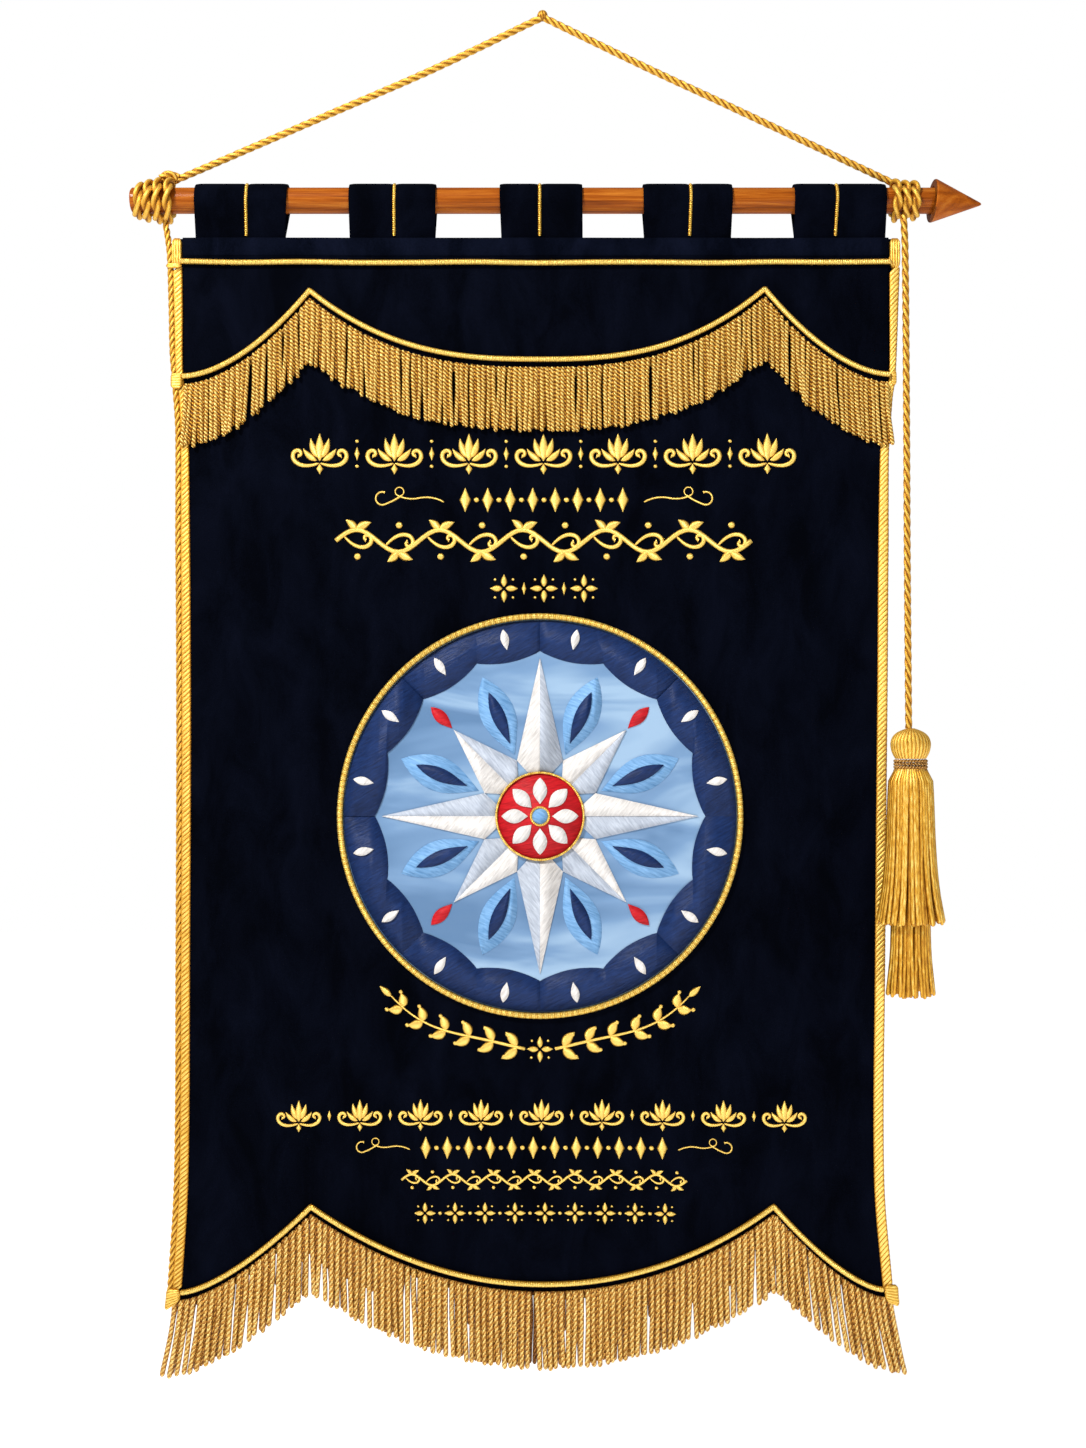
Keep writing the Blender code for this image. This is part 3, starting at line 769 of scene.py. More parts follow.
def tab_route():
    """(y, depth, way) down the middle of the strip, with the direction that faces outwards."""
    radius = ROD_RADIUS + TAB_EASE + TAB_THICKNESS / 2
    front_tail = PANEL_FRONT + GAP + TAB_THICKNESS / 2
    back_tail = front_tail + TAB_THICKNESS + GAP
    arc = [math.radians(angle) for angle in range(-14, 195, 8)]
    turn = [Vector((-radius * math.cos(a), ROD_DEPTH - radius * math.sin(a))) for a in arc]
    front = [Vector((front_tail, TAB_TAIL_DEPTH)), Vector((front_tail, TAB_MEETING_DEPTH))]
    back = [Vector((back_tail, TAB_MEETING_DEPTH)), Vector((back_tail, TAB_TAIL_DEPTH))]
    drop = [front[1].lerp(turn[0], n / 6) for n in range(1, 6)]
    climb = [turn[-1].lerp(back[0], n / 6) for n in range(1, 6)]
    route = [*front, *drop, *turn, *climb, *back]
    outwards = []
    for n, here in enumerate(route):
        run = (route[min(n + 1, len(route) - 1)] - route[max(n - 1, 0)]).normalized()
        outwards.append(Vector((run.y, -run.x)))
    return list(zip(route, outwards))


def drop_share(depth):
    """0 over the rod and 1 where the tab meets the heading."""
    return min(max((depth - ROD_DEPTH) / (TAB_MEETING_DEPTH - ROD_DEPTH), 0), 1)


def bend_tab(number, rod_left, rod_right, tail_left, tail_right, rod_seam, tail_seam):
    route = tab_route()
    bm = new_bmesh()
    along = measured([(0, *here) for here, _ in route])

    def place(i, j):
        here, out = route[j]
        share = drop_share(here.y)
        left, right = blend(rod_left, tail_left, share), blend(rod_right, tail_right, share)
        seam = blend(rod_seam, tail_seam, share)
        half = TAB_COLUMNS // 2
        x = blend(left, seam, i / half) if i <= half else blend(seam, right, i / half - 1)
        dip = SEAM_DIP * math.exp(-((x - seam) / SEAM_HALF) ** 2)
        dip += EDGE_DIP * math.exp(-min(x - left, right - x) / EDGE_REACH)
        at = here - out * dip
        return Vector((x, at.x, -at.y)), (x, along[j][0]), 1.0

    lay_grid(bm, TAB_COLUMNS, len(route) - 1, place)
    tab = add_piece(f"velvet_tab_{number}", bm, velvet, [f"tab_{number}"],
                    outward=False)
    return thicken(tab, TAB_THICKNESS, offset=0, rounded=True), along[-1][0]


for number, row in enumerate(TABS, start=1):
    tab, run = bend_tab(number, *row)

# %% [markdown]
# ## Wrapped piping
#
# The piping along the scallops and the tabs isn't twisted. It is a soft core wound closely
# with fine thread, so it shines in one long line with a faint bead across it. A tube with a
# slight swelling at each few threads gives the bead in the shape, and the finish adds the
# single threads, which run round the tube and so across U.

# %% Wrapped thread material
def wound_thread(name, thread, relief, roughness=0.36):
    """Thread wound round a core: the threads lie across the piece, at even steps along V."""
    made = Finish(name)
    uv = made.where("UV")
    wander = made.noise(uv, 300.0, noise_dimensions="2D")
    wave = made.wave(made.total((made.part(uv, "Y"), 1 / thread), (made.part(uv, "X"), 60.0),
                                (wander, 0.9)))
    # crest brings each piece's painted highlight and shade into the colour.
    height = made.total((wave, 0.22), (wander, 0.24), (made.crest(), 0.52))
    return made.finish(made.ramp(height, (0.10, 0.30, 0.52, 0.74), GOLDS), wave, relief,
                       thread * 0.4, Roughness=roughness, Metallic=0.6, Specular_IOR_Level=0.5)


piping_gold = wound_thread("wound gold piping", 0.0019, relief=0.8)

# %% Piping along the scallops
PIPING_RADIUS = 0.0028
PIPING_FACETS = 12
BEAD = 0.0024


def piping(node, points, radius=PIPING_RADIUS, light=1.0):
    """A round core wound with thread, with a faint bead along it.

    Its front is painted lighter, as a painted highlight, and its upper edge darker, as painted
    shade; light scales both.
    """
    along = [row[0] for row in measured(points)]

    def section(n, angle):
        bead = 0.5 + 0.5 * math.cos(2 * math.pi * along[n] / BEAD)
        reach = radius * (0.94 + 0.06 * bead)
        # shine is a painted highlight along the front, fading to painted shade on the upper edge.
        shine = max(0.0, -math.cos(angle) - 0.3 * math.sin(angle))
        return (reach * math.cos(angle), reach * math.sin(angle), angle * radius,
                light * (0.25 + 0.85 * shine) * (0.85 + 0.15 * bead))

    bm = new_bmesh()
    roll(bm, points, PIPING_FACETS, section, first_side=(0, 1, 0))
    add_trim(node, "wound", bm, piping_gold)


def along_edge(edge, front, radius, step, first=0.0005, last=0.9995):
    """Evenly spaced points on the line of the piping, lobe by lobe, so the cusps stay sharp."""
    turns = [first, *cusp_columns(edge), last]
    points = []
    for a, b in zip(turns, turns[1:]):
        lobe = []
        for n in range(41):
            u = blend(a, b, n / 40)
            depth = edge_depth(edge, u)
            lobe.append(on_cloth(across(u, depth), depth, front + GAP + radius))
        points += even_points(lobe, step)[1 if points else 0:]
    return points


for name, edge, front in (("valance_piping", VALANCE_EDGE, OVERLAY_FRONT),
                          ("bottom_piping", HEM_EDGE, PANEL_FRONT)):
    piping(name, along_edge(edge, front, PIPING_RADIUS, BEAD / 2))

# %% Piping across the heading
HEADING_PIPING_DEPTH = 0.2472
heading_line = []
for n in range(13):
    sag = 0.0005 * math.sin(2.3 * n) - 0.0012 * abs(n / 6 - 1) ** 8
    heading_line.append(on_cloth(across(n / 12, HEADING_PIPING_DEPTH),
                                 HEADING_PIPING_DEPTH + sag,
                                 OVERLAY_FRONT + GAP + PIPING_RADIUS))
piping("top_braid", even_points(heading_line, BEAD / 2))

# %% Piping down the tabs
TAB_PIPING_RADIUS = 0.0017
TAB_PIPING_SUNK = 0.0007
for number, row in enumerate(TABS, start=1):
    points = []
    for here, out in tab_route()[1:17]:
        at = here + out * (TAB_THICKNESS / 2 - TAB_PIPING_SUNK)
        points.append(Vector((blend(row[4], row[5], drop_share(here.y)), at.x, -at.y)))
    # The piping sunk in the tab seams gets less painted light, as shade in the seam.
    piping(f"tab_piping_{number}", even_points(points, BEAD / 2), TAB_PIPING_RADIUS, light=0.72)

# %% [markdown]
# ## Braid down the sides
#
# The side braid is flat: a few soft strands laid round each other and pressed, so slanting
# bundles of thread lie one above the next. A grid whose rows are slanted the same way lets each
# bundle be a ridge of clean edges. The first and last rows are pulled level to end the braid.
# The valance is tied round the braids, which pulls them in: each row of the pull is a depth and
# the share of the width that is left there, on the left and on the right.

# %% Braid material
braid_gold = gold_thread("flat gold braid", fibre=0.0008, run=0.012, relief=0.6,
                         ends=(0.10, 0.84))

# %% Side braids
BRAID_WIDTHS = (0.0098, 0.0102)
BRAID_PULL = ((0.2500, 1.0, 1.0), (0.3000, 0.92, 0.82), (0.3600, 0.78, 0.64),
              (0.4200, 0.86, 0.82), (0.5200, 1.0, 1.0))
BRAID_TOP = 0.2512
BRAID_END = 1.2720
BRAID_BACK = 0.0014
BRAID_EDGE_LIFT = OVERLAY_FRONT - 0.0007
BRAID_EDGE_WAVE = 0.0003
BRAID_RIDGES = (0.0011, 0.0008)
BRAID_COLUMNS = 8
RIDGE_ROWS = 6


def braid_width(side, depth):
    """The braid is pulled narrower where the valance is tied to it."""
    pulls = through(BRAID_PULL, min(max(depth, BRAID_PULL[0][0]), BRAID_PULL[-1][0]))
    return BRAID_WIDTHS[side] * pulls[side]


def side_braid(node, side, pitch, rise, light):
    """Flat braid on one side. rise is how far a bundle climbs from its left to its right."""
    rows = round((BRAID_END - BRAID_TOP) / pitch * RIDGE_ROWS)
    bm = new_bmesh()

    def place(i, j):
        t = i / BRAID_COLUMNS
        level = BRAID_TOP + (BRAID_END - BRAID_TOP) * j / rows
        depth = min(max(level + rise * (0.5 - t), BRAID_TOP), BRAID_END)
        phase = (j % RIDGE_ROWS) / RIDGE_ROWS
        # crest paints the hollows between bundles darker, as shade, and bow paints the edges
        # darker, also as shade.
        crest = math.sin(math.pi * phase) ** 0.7 if t > 0.16 or side else 0.85
        bow = 1 - (2 * t - 1) ** 4
        inner, width = across(side, depth), braid_width(side, depth)
        x = blend(inner - width, inner, t) if side == 0 else blend(inner, inner + width, t)
        if i in (0, BRAID_COLUMNS):
            x += BRAID_EDGE_WAVE * (crest - 0.5) * (1 if i else -1)
        lift = BRAID_EDGE_LIFT + bow * (0.0002 + BRAID_RIDGES[side] * crest)
        across_bundle = pitch * j / RIDGE_ROWS
        return on_cloth(x, depth, lift), (across_bundle, t * width), crest * bow * light

    extrude_back(bm, lay_grid(bm, BRAID_COLUMNS, rows, place), BRAID_BACK)
    add_trim(node, "laid", bm, braid_gold)


# The right braid is given more painted light than the left, so it is painted lighter.
side_braid("edge_braid_left", 0, 0.0048, 0.0080, 0.92)
side_braid("edge_braid_right", 1, 0.0050, 0.0100, 1.34)

# %% [markdown]
# ## Turned ends and ties
#
# At the top, each braid is folded back on itself and sewn down, which makes a short, thick end
# with the thread standing upright in it. Lower down, a few turns of thread bind the cord to the
# braid, and at the bottom corners the braid's end is folded across. All of these are a cushion
# with threads across it, so one helper makes them: a grid crowned like a cushion and ribbed.

# %% Ribbed cushion
tie_gold = gold_thread("gold binding thread", fibre=0.0007, run=0.006, relief=0.55,
                       ends=(0.14, 0.90))
CORNER_ROUNDING = 0.0016


def ribbed_cushion(name, replaces, left, right, top, bottom, lift, height, ribs,
                   upright=False, slant=0.0, narrow=(0, 0)):
    """A low cushion of thread on the cloth, with so many ribs across or up it.

    slant is how much deeper its left side ends than its right. narrow is how far its left
    and its right side come in at the bottom.
    """
    steps = ribs * RIDGE_ROWS
    columns, rows = (steps, 10) if upright else (10, steps)
    bm = new_bmesh()

    def place(i, j):
        s, t = i / columns, j / rows
        rib = abs(math.sin(math.pi * (s if upright else t) * ribs)) ** 0.6
        crown = ((1 - (2 * s - 1) ** 6) * (1 - (2 * t - 1) ** 6)) ** 0.5
        depth = blend(top, bottom + slant * (0.5 - s), t)
        depth += CORNER_ROUNDING * (1 - 2 * t) * abs(2 * s - 1) ** 8
        x = blend(left + narrow[0] * t * t, right - narrow[1] * t * t, s)
        x += CORNER_ROUNDING * (1 - 2 * s) * abs(2 * t - 1) ** 8
        at = on_cloth(x, depth, lift + crown * height * (0.7 + 0.3 * rib))
        u, v = (s * (right - left), t * (bottom - top))
        # The hollows between ribs and the cushion's edges are painted darker, as shade.
        return at, ((u, v) if upright else (v, u)), 0.48 + 0.52 * rib * crown

    extrude_back(bm, lay_grid(bm, columns, rows, place), lift)
    add_piece(name, bm, tie_gold, replaces)


# %% Turned ends
for name, side in (("left", 0), ("right", 1)):
    inner = across(side, 0.236)
    outer = inner + (-1, 1)[side] * (BRAID_WIDTHS[side] + 0.0007)
    ribbed_cushion(f"braid_end_{name}", [], min(inner, outer), max(inner, outer), 0.2216, 0.2520,
                   BRAID_BACK, 0.0036, 4, upright=True)

# %% Ties
for name, from_left, from_right, top, bottom, lift, height, ribs in (
        ("tie_top_left", 0, 0, 0.2477, 0.2527, 0.0044, 0.0026, 3),
        ("tie_valance_left", 0.0024, 0, 0.3570, 0.3730, 0.0044, 0.0026, 6),
        ("tie_valance_right", 0, 0.0026, 0.3540, 0.3690, 0.0034, 0.0018, 5)):
    low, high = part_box(name)
    ribbed_cushion(f"{name}_bound", [name], low.x + from_left, high.x - from_right, top, bottom,
                   lift, height, ribs)
for name, shorter, slant, narrow in (
        ("corner_wrap_left", 0.0048, 0.0095, (-0.0020, 0.0005)),
        ("corner_wrap_right", 0.0015, -0.0050, (0.0020, -0.0015))):
    low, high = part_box(name)
    ribbed_cushion(f"{name}_bound", [name], low.x - 0.0012, high.x, -high.z, -low.z - shorter,
                   0.0046, 0.0034, 7, slant=slant, narrow=narrow)
    print(name, "from", round(-high.z, 4), "to", round(-low.z, 4))

# %% [markdown]
# ## Cord down the left side, and the turns on the rod
#
# A twisted cord runs down outside the left braid from the lashing above it. The lashings hold
# the hanging cord to the rod: each turn is the same cord laid round the wood, pulled a little
# out of true by the turn beside it, so each ring is tilted and not quite round. A turn is given
# by its place along the rod and its outer radius.

# %% Edge cord
EDGE_CORD_RADIUS = 0.0033
EDGE_CORD_OFFSET = 0.0016
EDGE_LAY = 0.0236
EDGE_CORD_START = ((-0.3778, 0, -0.2000), (-0.3766, 0, -0.2080), (-0.3750, -0.0008, -0.2170),
                   (-0.3734, -0.0012, -0.2270), (-0.3722, -0.0014, -0.2380))
route = list(EDGE_CORD_START)
for n in range(1, 29):
    depth = blend(HEADING_DEPTH, BRAID_END, n / 28)
    x = across(0, depth) - braid_width(0, depth) - EDGE_CORD_RADIUS + 0.0013
    if depth > 0.245:
        route.append((x, drape(x, depth) - EDGE_CORD_OFFSET, -depth))
bm = new_bmesh()
laid_cord(bm, even_points(route, 0.0018), EDGE_CORD_RADIUS, EDGE_LAY, fill=0.3)
add_trim("edge_cord_left", "laid", bm)

# %% Lashings
TURN_RADIUS = 0.0049
LEFT_TURNS = ((-0.4034, 0.0190), (-0.3940, 0.0212), (-0.3836, 0.0226), (-0.3728, 0.0226))
RIGHT_TURNS = ((0.3526, 0.0216), (0.3622, 0.0204), (0.3714, 0.0200))


def wind_turns(name, turns, tilt, lay):
    """Rings of cord round the rod, each a little out of true."""
    bm = new_bmesh()
    draw = random.Random(name)
    for x, outer in turns:
        middle = outer - TURN_RADIUS
        lean = tilt * draw.uniform(0.6, 1.4)
        swell = draw.uniform(0.0002, 0.0006)
        loop = []
        for n in range(61):
            a = 2 * math.pi * n / 60
            reach = middle + swell * math.sin(2 * a + lean * 900)
            loop.append(Vector((x + lean * math.sin(a + 0.6), -reach * math.sin(a),
                                -ROD_DEPTH + reach * math.cos(a))))
        laid_cord(bm, loop, TURN_RADIUS, lay, strands=2, fill=0.12, closed=True)
    return bm


bm = wind_turns("left turns", LEFT_TURNS, 0.0021, 0.036)
over = even_points([(-0.3800, -0.0060, -0.1640), (-0.3752, -0.0048, -0.1604),
                    (-0.3700, -0.0030, -0.1592), (-0.3640, -0.0008, -0.1618)], 0.0012)
laid_cord(bm, over, TURN_RADIUS * 0.9, 0.027, fill=0.35)
add_trim("lashing_left", "turns", bm)
add_trim("lashing_right", "turns", wind_turns("right turns", RIGHT_TURNS, -0.0019, -0.036))

# %% [markdown]
# ## Knot at the hook
#
# The two halves of the cord meet in one small tight knot. What shows is its last turns, drawn
# close over the rest, so it is a ball of slanting ribs. It is painted darker between the ribs
# and below, where the cords go in, as shade, and lighter on top, as painted light.

# %% Knot
KNOT_RADIUS, KNOT_HEIGHT = 0.0053, 0.0012
KNOT_COLUMNS, KNOT_ROWS = 9 * RIDGE_ROWS, 14
KNOT_POLE = math.radians(8)


def knot_place(i, j):
    down = blend(KNOT_POLE, math.pi - KNOT_POLE, j / KNOT_ROWS)
    around = 2 * math.pi * i / KNOT_COLUMNS
    rib = abs(math.sin(math.pi * i / RIDGE_ROWS)) ** 0.8
    reach = KNOT_RADIUS * (0.90 + 0.10 * rib) * math.sin(down)
    turned = around + 0.25 * math.cos(down)
    at = Vector((reach * math.cos(turned), -reach * math.sin(turned),
                 KNOT_HEIGHT + KNOT_RADIUS * math.cos(down)))
    # lit is painted light: lighter on top, darker below where the cords go in.
    lit = 0.3 + 0.8 * (0.5 + 0.5 * math.cos(down))
    return at, (around * KNOT_RADIUS, down * KNOT_RADIUS), (0.25 + 0.75 * rib) * lit


bm = new_bmesh()
close_round(bm, lay_grid(bm, KNOT_COLUMNS, KNOT_ROWS, knot_place), KNOT_COLUMNS, KNOT_ROWS,
            (0, KNOT_ROWS))
add_trim("hanger_knot", "tied", bm)

# %% [markdown]
# ## Bullion fringe
#
# The fringe is made of cords twisted so hard that each doubles back on itself as a thick loop.
# There are hundreds of them, so each gets only a few dozen faces: a short tube with a rounded
# end. The twist, far finer than those faces, is drawn and raised by the finish, as slanting
# threads that climb round each loop, with painted shade in the grooves between them. Each
# loop's sides are painted darker than its front, and the rows behind darker still, all as
# painted shade. Loops lean together in little groups, as hanging threads do.

# %% Bullion material
def bullion_thread(name, pitch, starts, relief, twist, unevenness, colours):
    """Threads that climb round a loop: U is turns round it, V metres along it.

    starts is how many threads lie side by side, negative where they climb to the right.
    """
    made = Finish(name)
    uv = made.where("UV")
    wander = made.noise(made.where("Object"), 420.0)
    wave = made.wave(made.total((made.part(uv, "X"), starts), (made.part(uv, "Y"), 1 / pitch),
                                (wander, unevenness)))
    # crest carries each loop's painted light, so the twist's grooves, the loop's sides and the
    # rows behind are painted darker.
    height = made.calculate("MULTIPLY", made.total((wave, twist), (wander, 1.04 - twist)),
                            made.crest())
    return made.finish(made.ramp(height, (0.12, 0.25, 0.42, 0.66), colours), wave, relief,
                       pitch * 0.35, Roughness=0.42, Metallic=0.5, Specular_IOR_Level=0.45)


valance_bullion = bullion_thread("gold bullion, valance", 0.0038, 2, 1.0, 0.62, 0.6,
                                 (*GOLDS[:2], (0.76, 0.41, 0.050), (0.98, 0.72, 0.22)))
hem_bullion = bullion_thread("gold bullion, hem", 0.0056, -3, 0.8, 0.52, 0.9,
                             ((0.15, 0.048, 0.004), (0.47, 0.19, 0.022),
                              (0.74, 0.385, 0.066), (0.92, 0.66, 0.22)))

# %% One loop
LOOP_FACETS = 6
FLARE_REACH = 0.20
PARTING_REACH = 0.03
GROUP_LEAN = 0.0045
OWN_LEAN = 0.0009
TAPE_HEIGHT, TAPE_THICKNESS = 0.0085, 0.0006


def loop_stops(length, radius, rings):
    """Distances along a loop for its rings, closer together at its rounded ends."""
    middle = [blend(radius, length - radius, n / rings) for n in range(rings + 1)]
    return [0, 0.3 * radius, *middle, length - 0.3 * radius, length]


def bullion_loop(bm, points, radius, flat=0.95, bright=1.0, phase=0.0, dim=0.40):
    """A thick loop of twisted cord, round at both ends. Its twist starts at its own phase.

    dim is how much darker its sides are painted than its front, as shade; bright scales all
    its painted light.
    """
    along = [row[0] for row in measured(points)]

    def section(n, angle):
        t = min(along[n], along[-1] - along[n], radius) / radius
        reach = radius * max(0.40, math.sqrt(1 - (1 - t) ** 2))
        painted_side_shade = 1 - dim * (1 - max(math.sin(angle), -0.5))
        return (reach * math.cos(angle), reach * math.sin(angle) * flat,
                angle / (2 * math.pi) + phase, bright * painted_side_shade)

    roll(bm, points, LOOP_FACETS, section)


def hanging_row(bm, edge, first, last, pitch, length, radius, lifts, flare, parting, draw,
                lean_share=1.0, keep=1.0, bright=1.0, offset=0.5, rings=6, thinnest=0.93):
    """A row of loops below a scalloped edge, and how many it has.

    lifts are how far they lie off the cloth at the top and at the end. flare leans them
    outwards near the banner's sides, and parting inwards at the row's own two ends. keep is
    the share that is made, and offset where in its pitch a loop hangs.
    """
    width = across(last, edge["points"][0][1]) - across(first, edge["points"][0][1])
    count = round(width / pitch)
    made = 0
    for n in range(count):
        u = blend(first, last, (n + offset) / count)
        if u > last - 0.001 or draw.random() > keep:
            continue
        made += 1
        top = edge_depth(edge, u) + FRINGE_BELOW_PIPING
        near_left, near_right = (max(0, 1 - near / FLARE_REACH) ** 1.2 for near in (u, 1 - u))
        lean = flare * (1.25 * near_right - near_left)
        lean += parting[0] * max(0, 1 - (u - first) / PARTING_REACH)
        lean -= parting[1] * max(0, 1 - (last - u) / PARTING_REACH)
        group = noise.noise(Vector((u * 90, length * 50, radius * 900)))
        lean += lean_share * (GROUP_LEAN * group + draw.uniform(-OWN_LEAN, OWN_LEAN))
        bend = draw.uniform(-OWN_LEAN, OWN_LEAN)
        reach = length + draw.uniform(-0.0022, 0.0014) - radius
        fat = radius * draw.uniform(thinnest, 1.06)
        shade = bright * draw.uniform(0.84, 1.08)
        points = []
        for distance in loop_stops(reach, fat, rings):
            v = distance / reach
            x = across(u, top) + lean * v**1.3 + bend * math.sin(math.pi * v * 1.5)
            depth = top + v * reach
            points.append(on_cloth(x, depth, blend(*lifts, v)))
        bullion_loop(bm, points, fat, bright=shade, phase=draw.random())
    return made


def header_tape(bm, edge, first, last, lift):
    """The woven tape that the loops hang from, behind their tops."""
    us = [first, *(u for u in spread_columns(80) if first < u < last), last]

    def place(i, j):
        down = j * TAPE_HEIGHT / 2
        depth = edge_depth(edge, us[i]) + FRINGE_BELOW_PIPING + 0.0006 + down
        x = across(us[i], depth)
        return on_cloth(x, depth, lift + TAPE_THICKNESS), (x / 0.01, down), 0.6

    extrude_back(bm, lay_grid(bm, len(us) - 1, 2, place), lift)


# %% Valance fringe
draw = random.Random(7)
bm = new_bmesh()
header_tape(bm, VALANCE_EDGE, 0.001, 0.999, OVERLAY_FRONT + GAP)
front_loops = hanging_row(bm, VALANCE_EDGE, 0.0, 1.0, 0.0053, 0.0665, 0.00238, (0.0060, 0.0056),
                          0.0030, (0, 0), draw, thinnest=0.84)
# The back row is painted darker, as shade behind the front loops.
back_loops = hanging_row(bm, VALANCE_EDGE, 0.0, 1.0, 0.0053, 0.0640, 0.0022, (0.0052, 0.0036),
                         0.0030, (0, 0), draw, keep=0.75, bright=0.52, offset=1.0, rings=5)
add_trim("fringe_valance", "loops", bm, valance_bullion)
print("valance loops:", front_loops, "in front and", back_loops, "behind")

# %% Hem fringe
HEM_REACH = 0.0135
for name, first, last, parting in (
        ("fringe_bottom_left", -HEM_REACH, 0.4995, (0, 0.0040)),
        ("fringe_bottom_right", 0.5005, 1 + HEM_REACH, (0.0040, 0))):
    draw = random.Random(name)
    bm = new_bmesh()
    header_tape(bm, HEM_EDGE, max(first, 0) + 0.001, min(last, 1) - 0.001, PANEL_FRONT + GAP)
    front_loops = hanging_row(bm, HEM_EDGE, first, last, 0.0064, 0.0805, 0.00258,
                              (0.0042, 0.0038), 0.0125, parting, draw, rings=7, lean_share=0.50)
    # The rows behind the front loops, and the few in the middle parting, are painted darker, as
    # shade.
    back_loops = hanging_row(bm, HEM_EDGE, first, last, 0.0064, 0.0780, 0.0022,
                             (0.0028, 0.0012), 0.0118, tuple(p * 0.2 for p in parting), draw,
                             keep=0.78, bright=0.62, offset=1.0, lean_share=0.9)
    short_loops = hanging_row(bm, HEM_EDGE, first, last, 0.0062, 0.0440, 0.0022,
                              (0.0032, 0.0026), 0.0080, (0, 0), draw, bright=0.40, offset=0.9,
                              rings=4, lean_share=0.5)
    middle = (0.487, 0.4995) if "left" in name else (0.5005, 0.513)
    hanging_row(bm, HEM_EDGE, *middle, 0.0042, 0.0760, 0.0022, (0.0020, 0.0010), 0.0, (0, 0),
                draw, bright=0.30, lean_share=0.3)
    add_trim(name, "loops", bm, hem_bullion)
    print(name, "loops:", front_loops, back_loops, "and", short_loops)

# %% [markdown]
# ## Tassel
#
# The tassel hangs from its own cord. Thread is laid over a wooden mould for the round head,
# bound at the neck with a browner braid, and falls as a skirt of soft cords in two tiers. The
# head is a ribbed grid rolled round its profile, the band is four rings of cord, and each
# skirt is two rows of cords. All are oval, because the tassel hangs against the banner's edge.
# Each row of a profile is a depth and the half width there.

# %% Tassel figures
TASSEL_X = 0.3620
TASSEL_Y = -0.0250
TASSEL_FLATNESS = 0.70
HEAD_PROFILE = ((0.7112, 0.0034), (0.7124, 0.0072), (0.7152, 0.0132), (0.7195, 0.0176),
                (0.7255, 0.0197), (0.7320, 0.0192), (0.7370, 0.0174), (0.7412, 0.0150))
SKIRT_PROFILE = ((0.7500, 0.0150), (0.7546, 0.0176), (0.7590, 0.0212), (0.7670, 0.0224),
                 (0.8300, 0.0250), (0.8700, 0.0286), (0.9050, 0.0350))
UNDERSKIRT_PROFILE = ((0.8800, 0.0184), (0.9074, 0.0196), (0.9350, 0.0206), (0.9760, 0.0250))


def round_tassel(angle, half_width, depth):
    """A point on the oval of that half width at that depth. Angle 0 is the right, 90 the front."""
    return Vector((TASSEL_X + half_width * math.cos(angle),
                   TASSEL_Y - half_width * TASSEL_FLATNESS * math.sin(angle), -depth))


# %% Tassel head
head_gold = gold_thread("gold thread over the mould", fibre=0.0006, run=0.008, relief=0.5)
bm = new_bmesh()
HEAD_COLUMNS, HEAD_ROWS = 30 * RIDGE_ROWS, 22
HEAD_FIRST, HEAD_LAST = HEAD_PROFILE[0][0], HEAD_PROFILE[-1][0]


def head_place(i, j):
    depth = blend(HEAD_FIRST, HEAD_LAST, (1 - math.cos(math.pi * j / HEAD_ROWS)) / 2)
    half, = through(HEAD_PROFILE, depth)
    rib = abs(math.sin(math.pi * i / RIDGE_ROWS)) ** 0.7
    angle = 2 * math.pi * i / HEAD_COLUMNS
    at = round_tassel(angle, half * (0.955 + 0.045 * rib), depth)
    # The grooves between ribs are painted darker, as shade.
    return at, (angle * half, depth), 0.15 + 0.85 * rib


close_round(bm, lay_grid(bm, HEAD_COLUMNS, HEAD_ROWS, head_place), HEAD_COLUMNS, HEAD_ROWS,
            (0, HEAD_ROWS))
add_trim("tassel_head", "bound", bm, head_gold)

# %% Tassel band
band_gold = gold_thread("browner neck braid", fibre=0.0006, run=0.004, relief=0.6,
                        colours=((0.09, 0.030, 0.003), (0.24, 0.095, 0.012),
                                 (0.42, 0.19, 0.035), (0.72, 0.45, 0.15)))
bm = new_bmesh()
for n, depth in enumerate((0.7434, 0.7464, 0.7494, 0.7526)):
    loop = [round_tassel(2 * math.pi * k / 48, 0.0150, depth) for k in range(49)]
    laid_cord(bm, loop, 0.00185, 0.0062 * (1 if n % 2 else -1), strands=2, fill=0.5, closed=True,
              first_side=(0, 0, 1))
add_trim("tassel_band", "bound", bm, band_gold)

# %% Tassel skirts
skirt_gold = gold_thread("gold skirt cord", fibre=0.14, run=0.009, relief=0.0,
                         ends=(0.16, 0.88))


def skirt(bm, profile, count, radius, inset, draw, rings, bright=1.0, sway=1.0):
    """Cords hung round the oval, from the top of the profile to its foot."""
    top, foot = profile[0][0], profile[-1][0]
    for n in range(count):
        angle = 2 * math.pi * (n + draw.uniform(-0.18, 0.18)) / count
        reach = foot + draw.uniform(-0.0030, 0.0012) - radius
        drift = draw.uniform(-1, 1)
        slack = draw.uniform(-1, 1)
        points = []
        for distance in loop_stops(reach - top, radius, rings):
            v = distance / (reach - top)
            depth = top + distance
            half, = through(profile, min(depth, foot))
            turn = angle + sway * (drift * 0.10 * v**2 + slack * 0.03 * math.sin(3.6 * v))
            points.append(round_tassel(turn, half - inset - radius, depth))
        bullion_loop(bm, points, radius * draw.uniform(0.90, 1.06), flat=0.92,
                     bright=bright * draw.uniform(0.54, 0.90), phase=draw.uniform(0, 40),
                     dim=0.62)


draw = random.Random(21)
bm = new_bmesh()
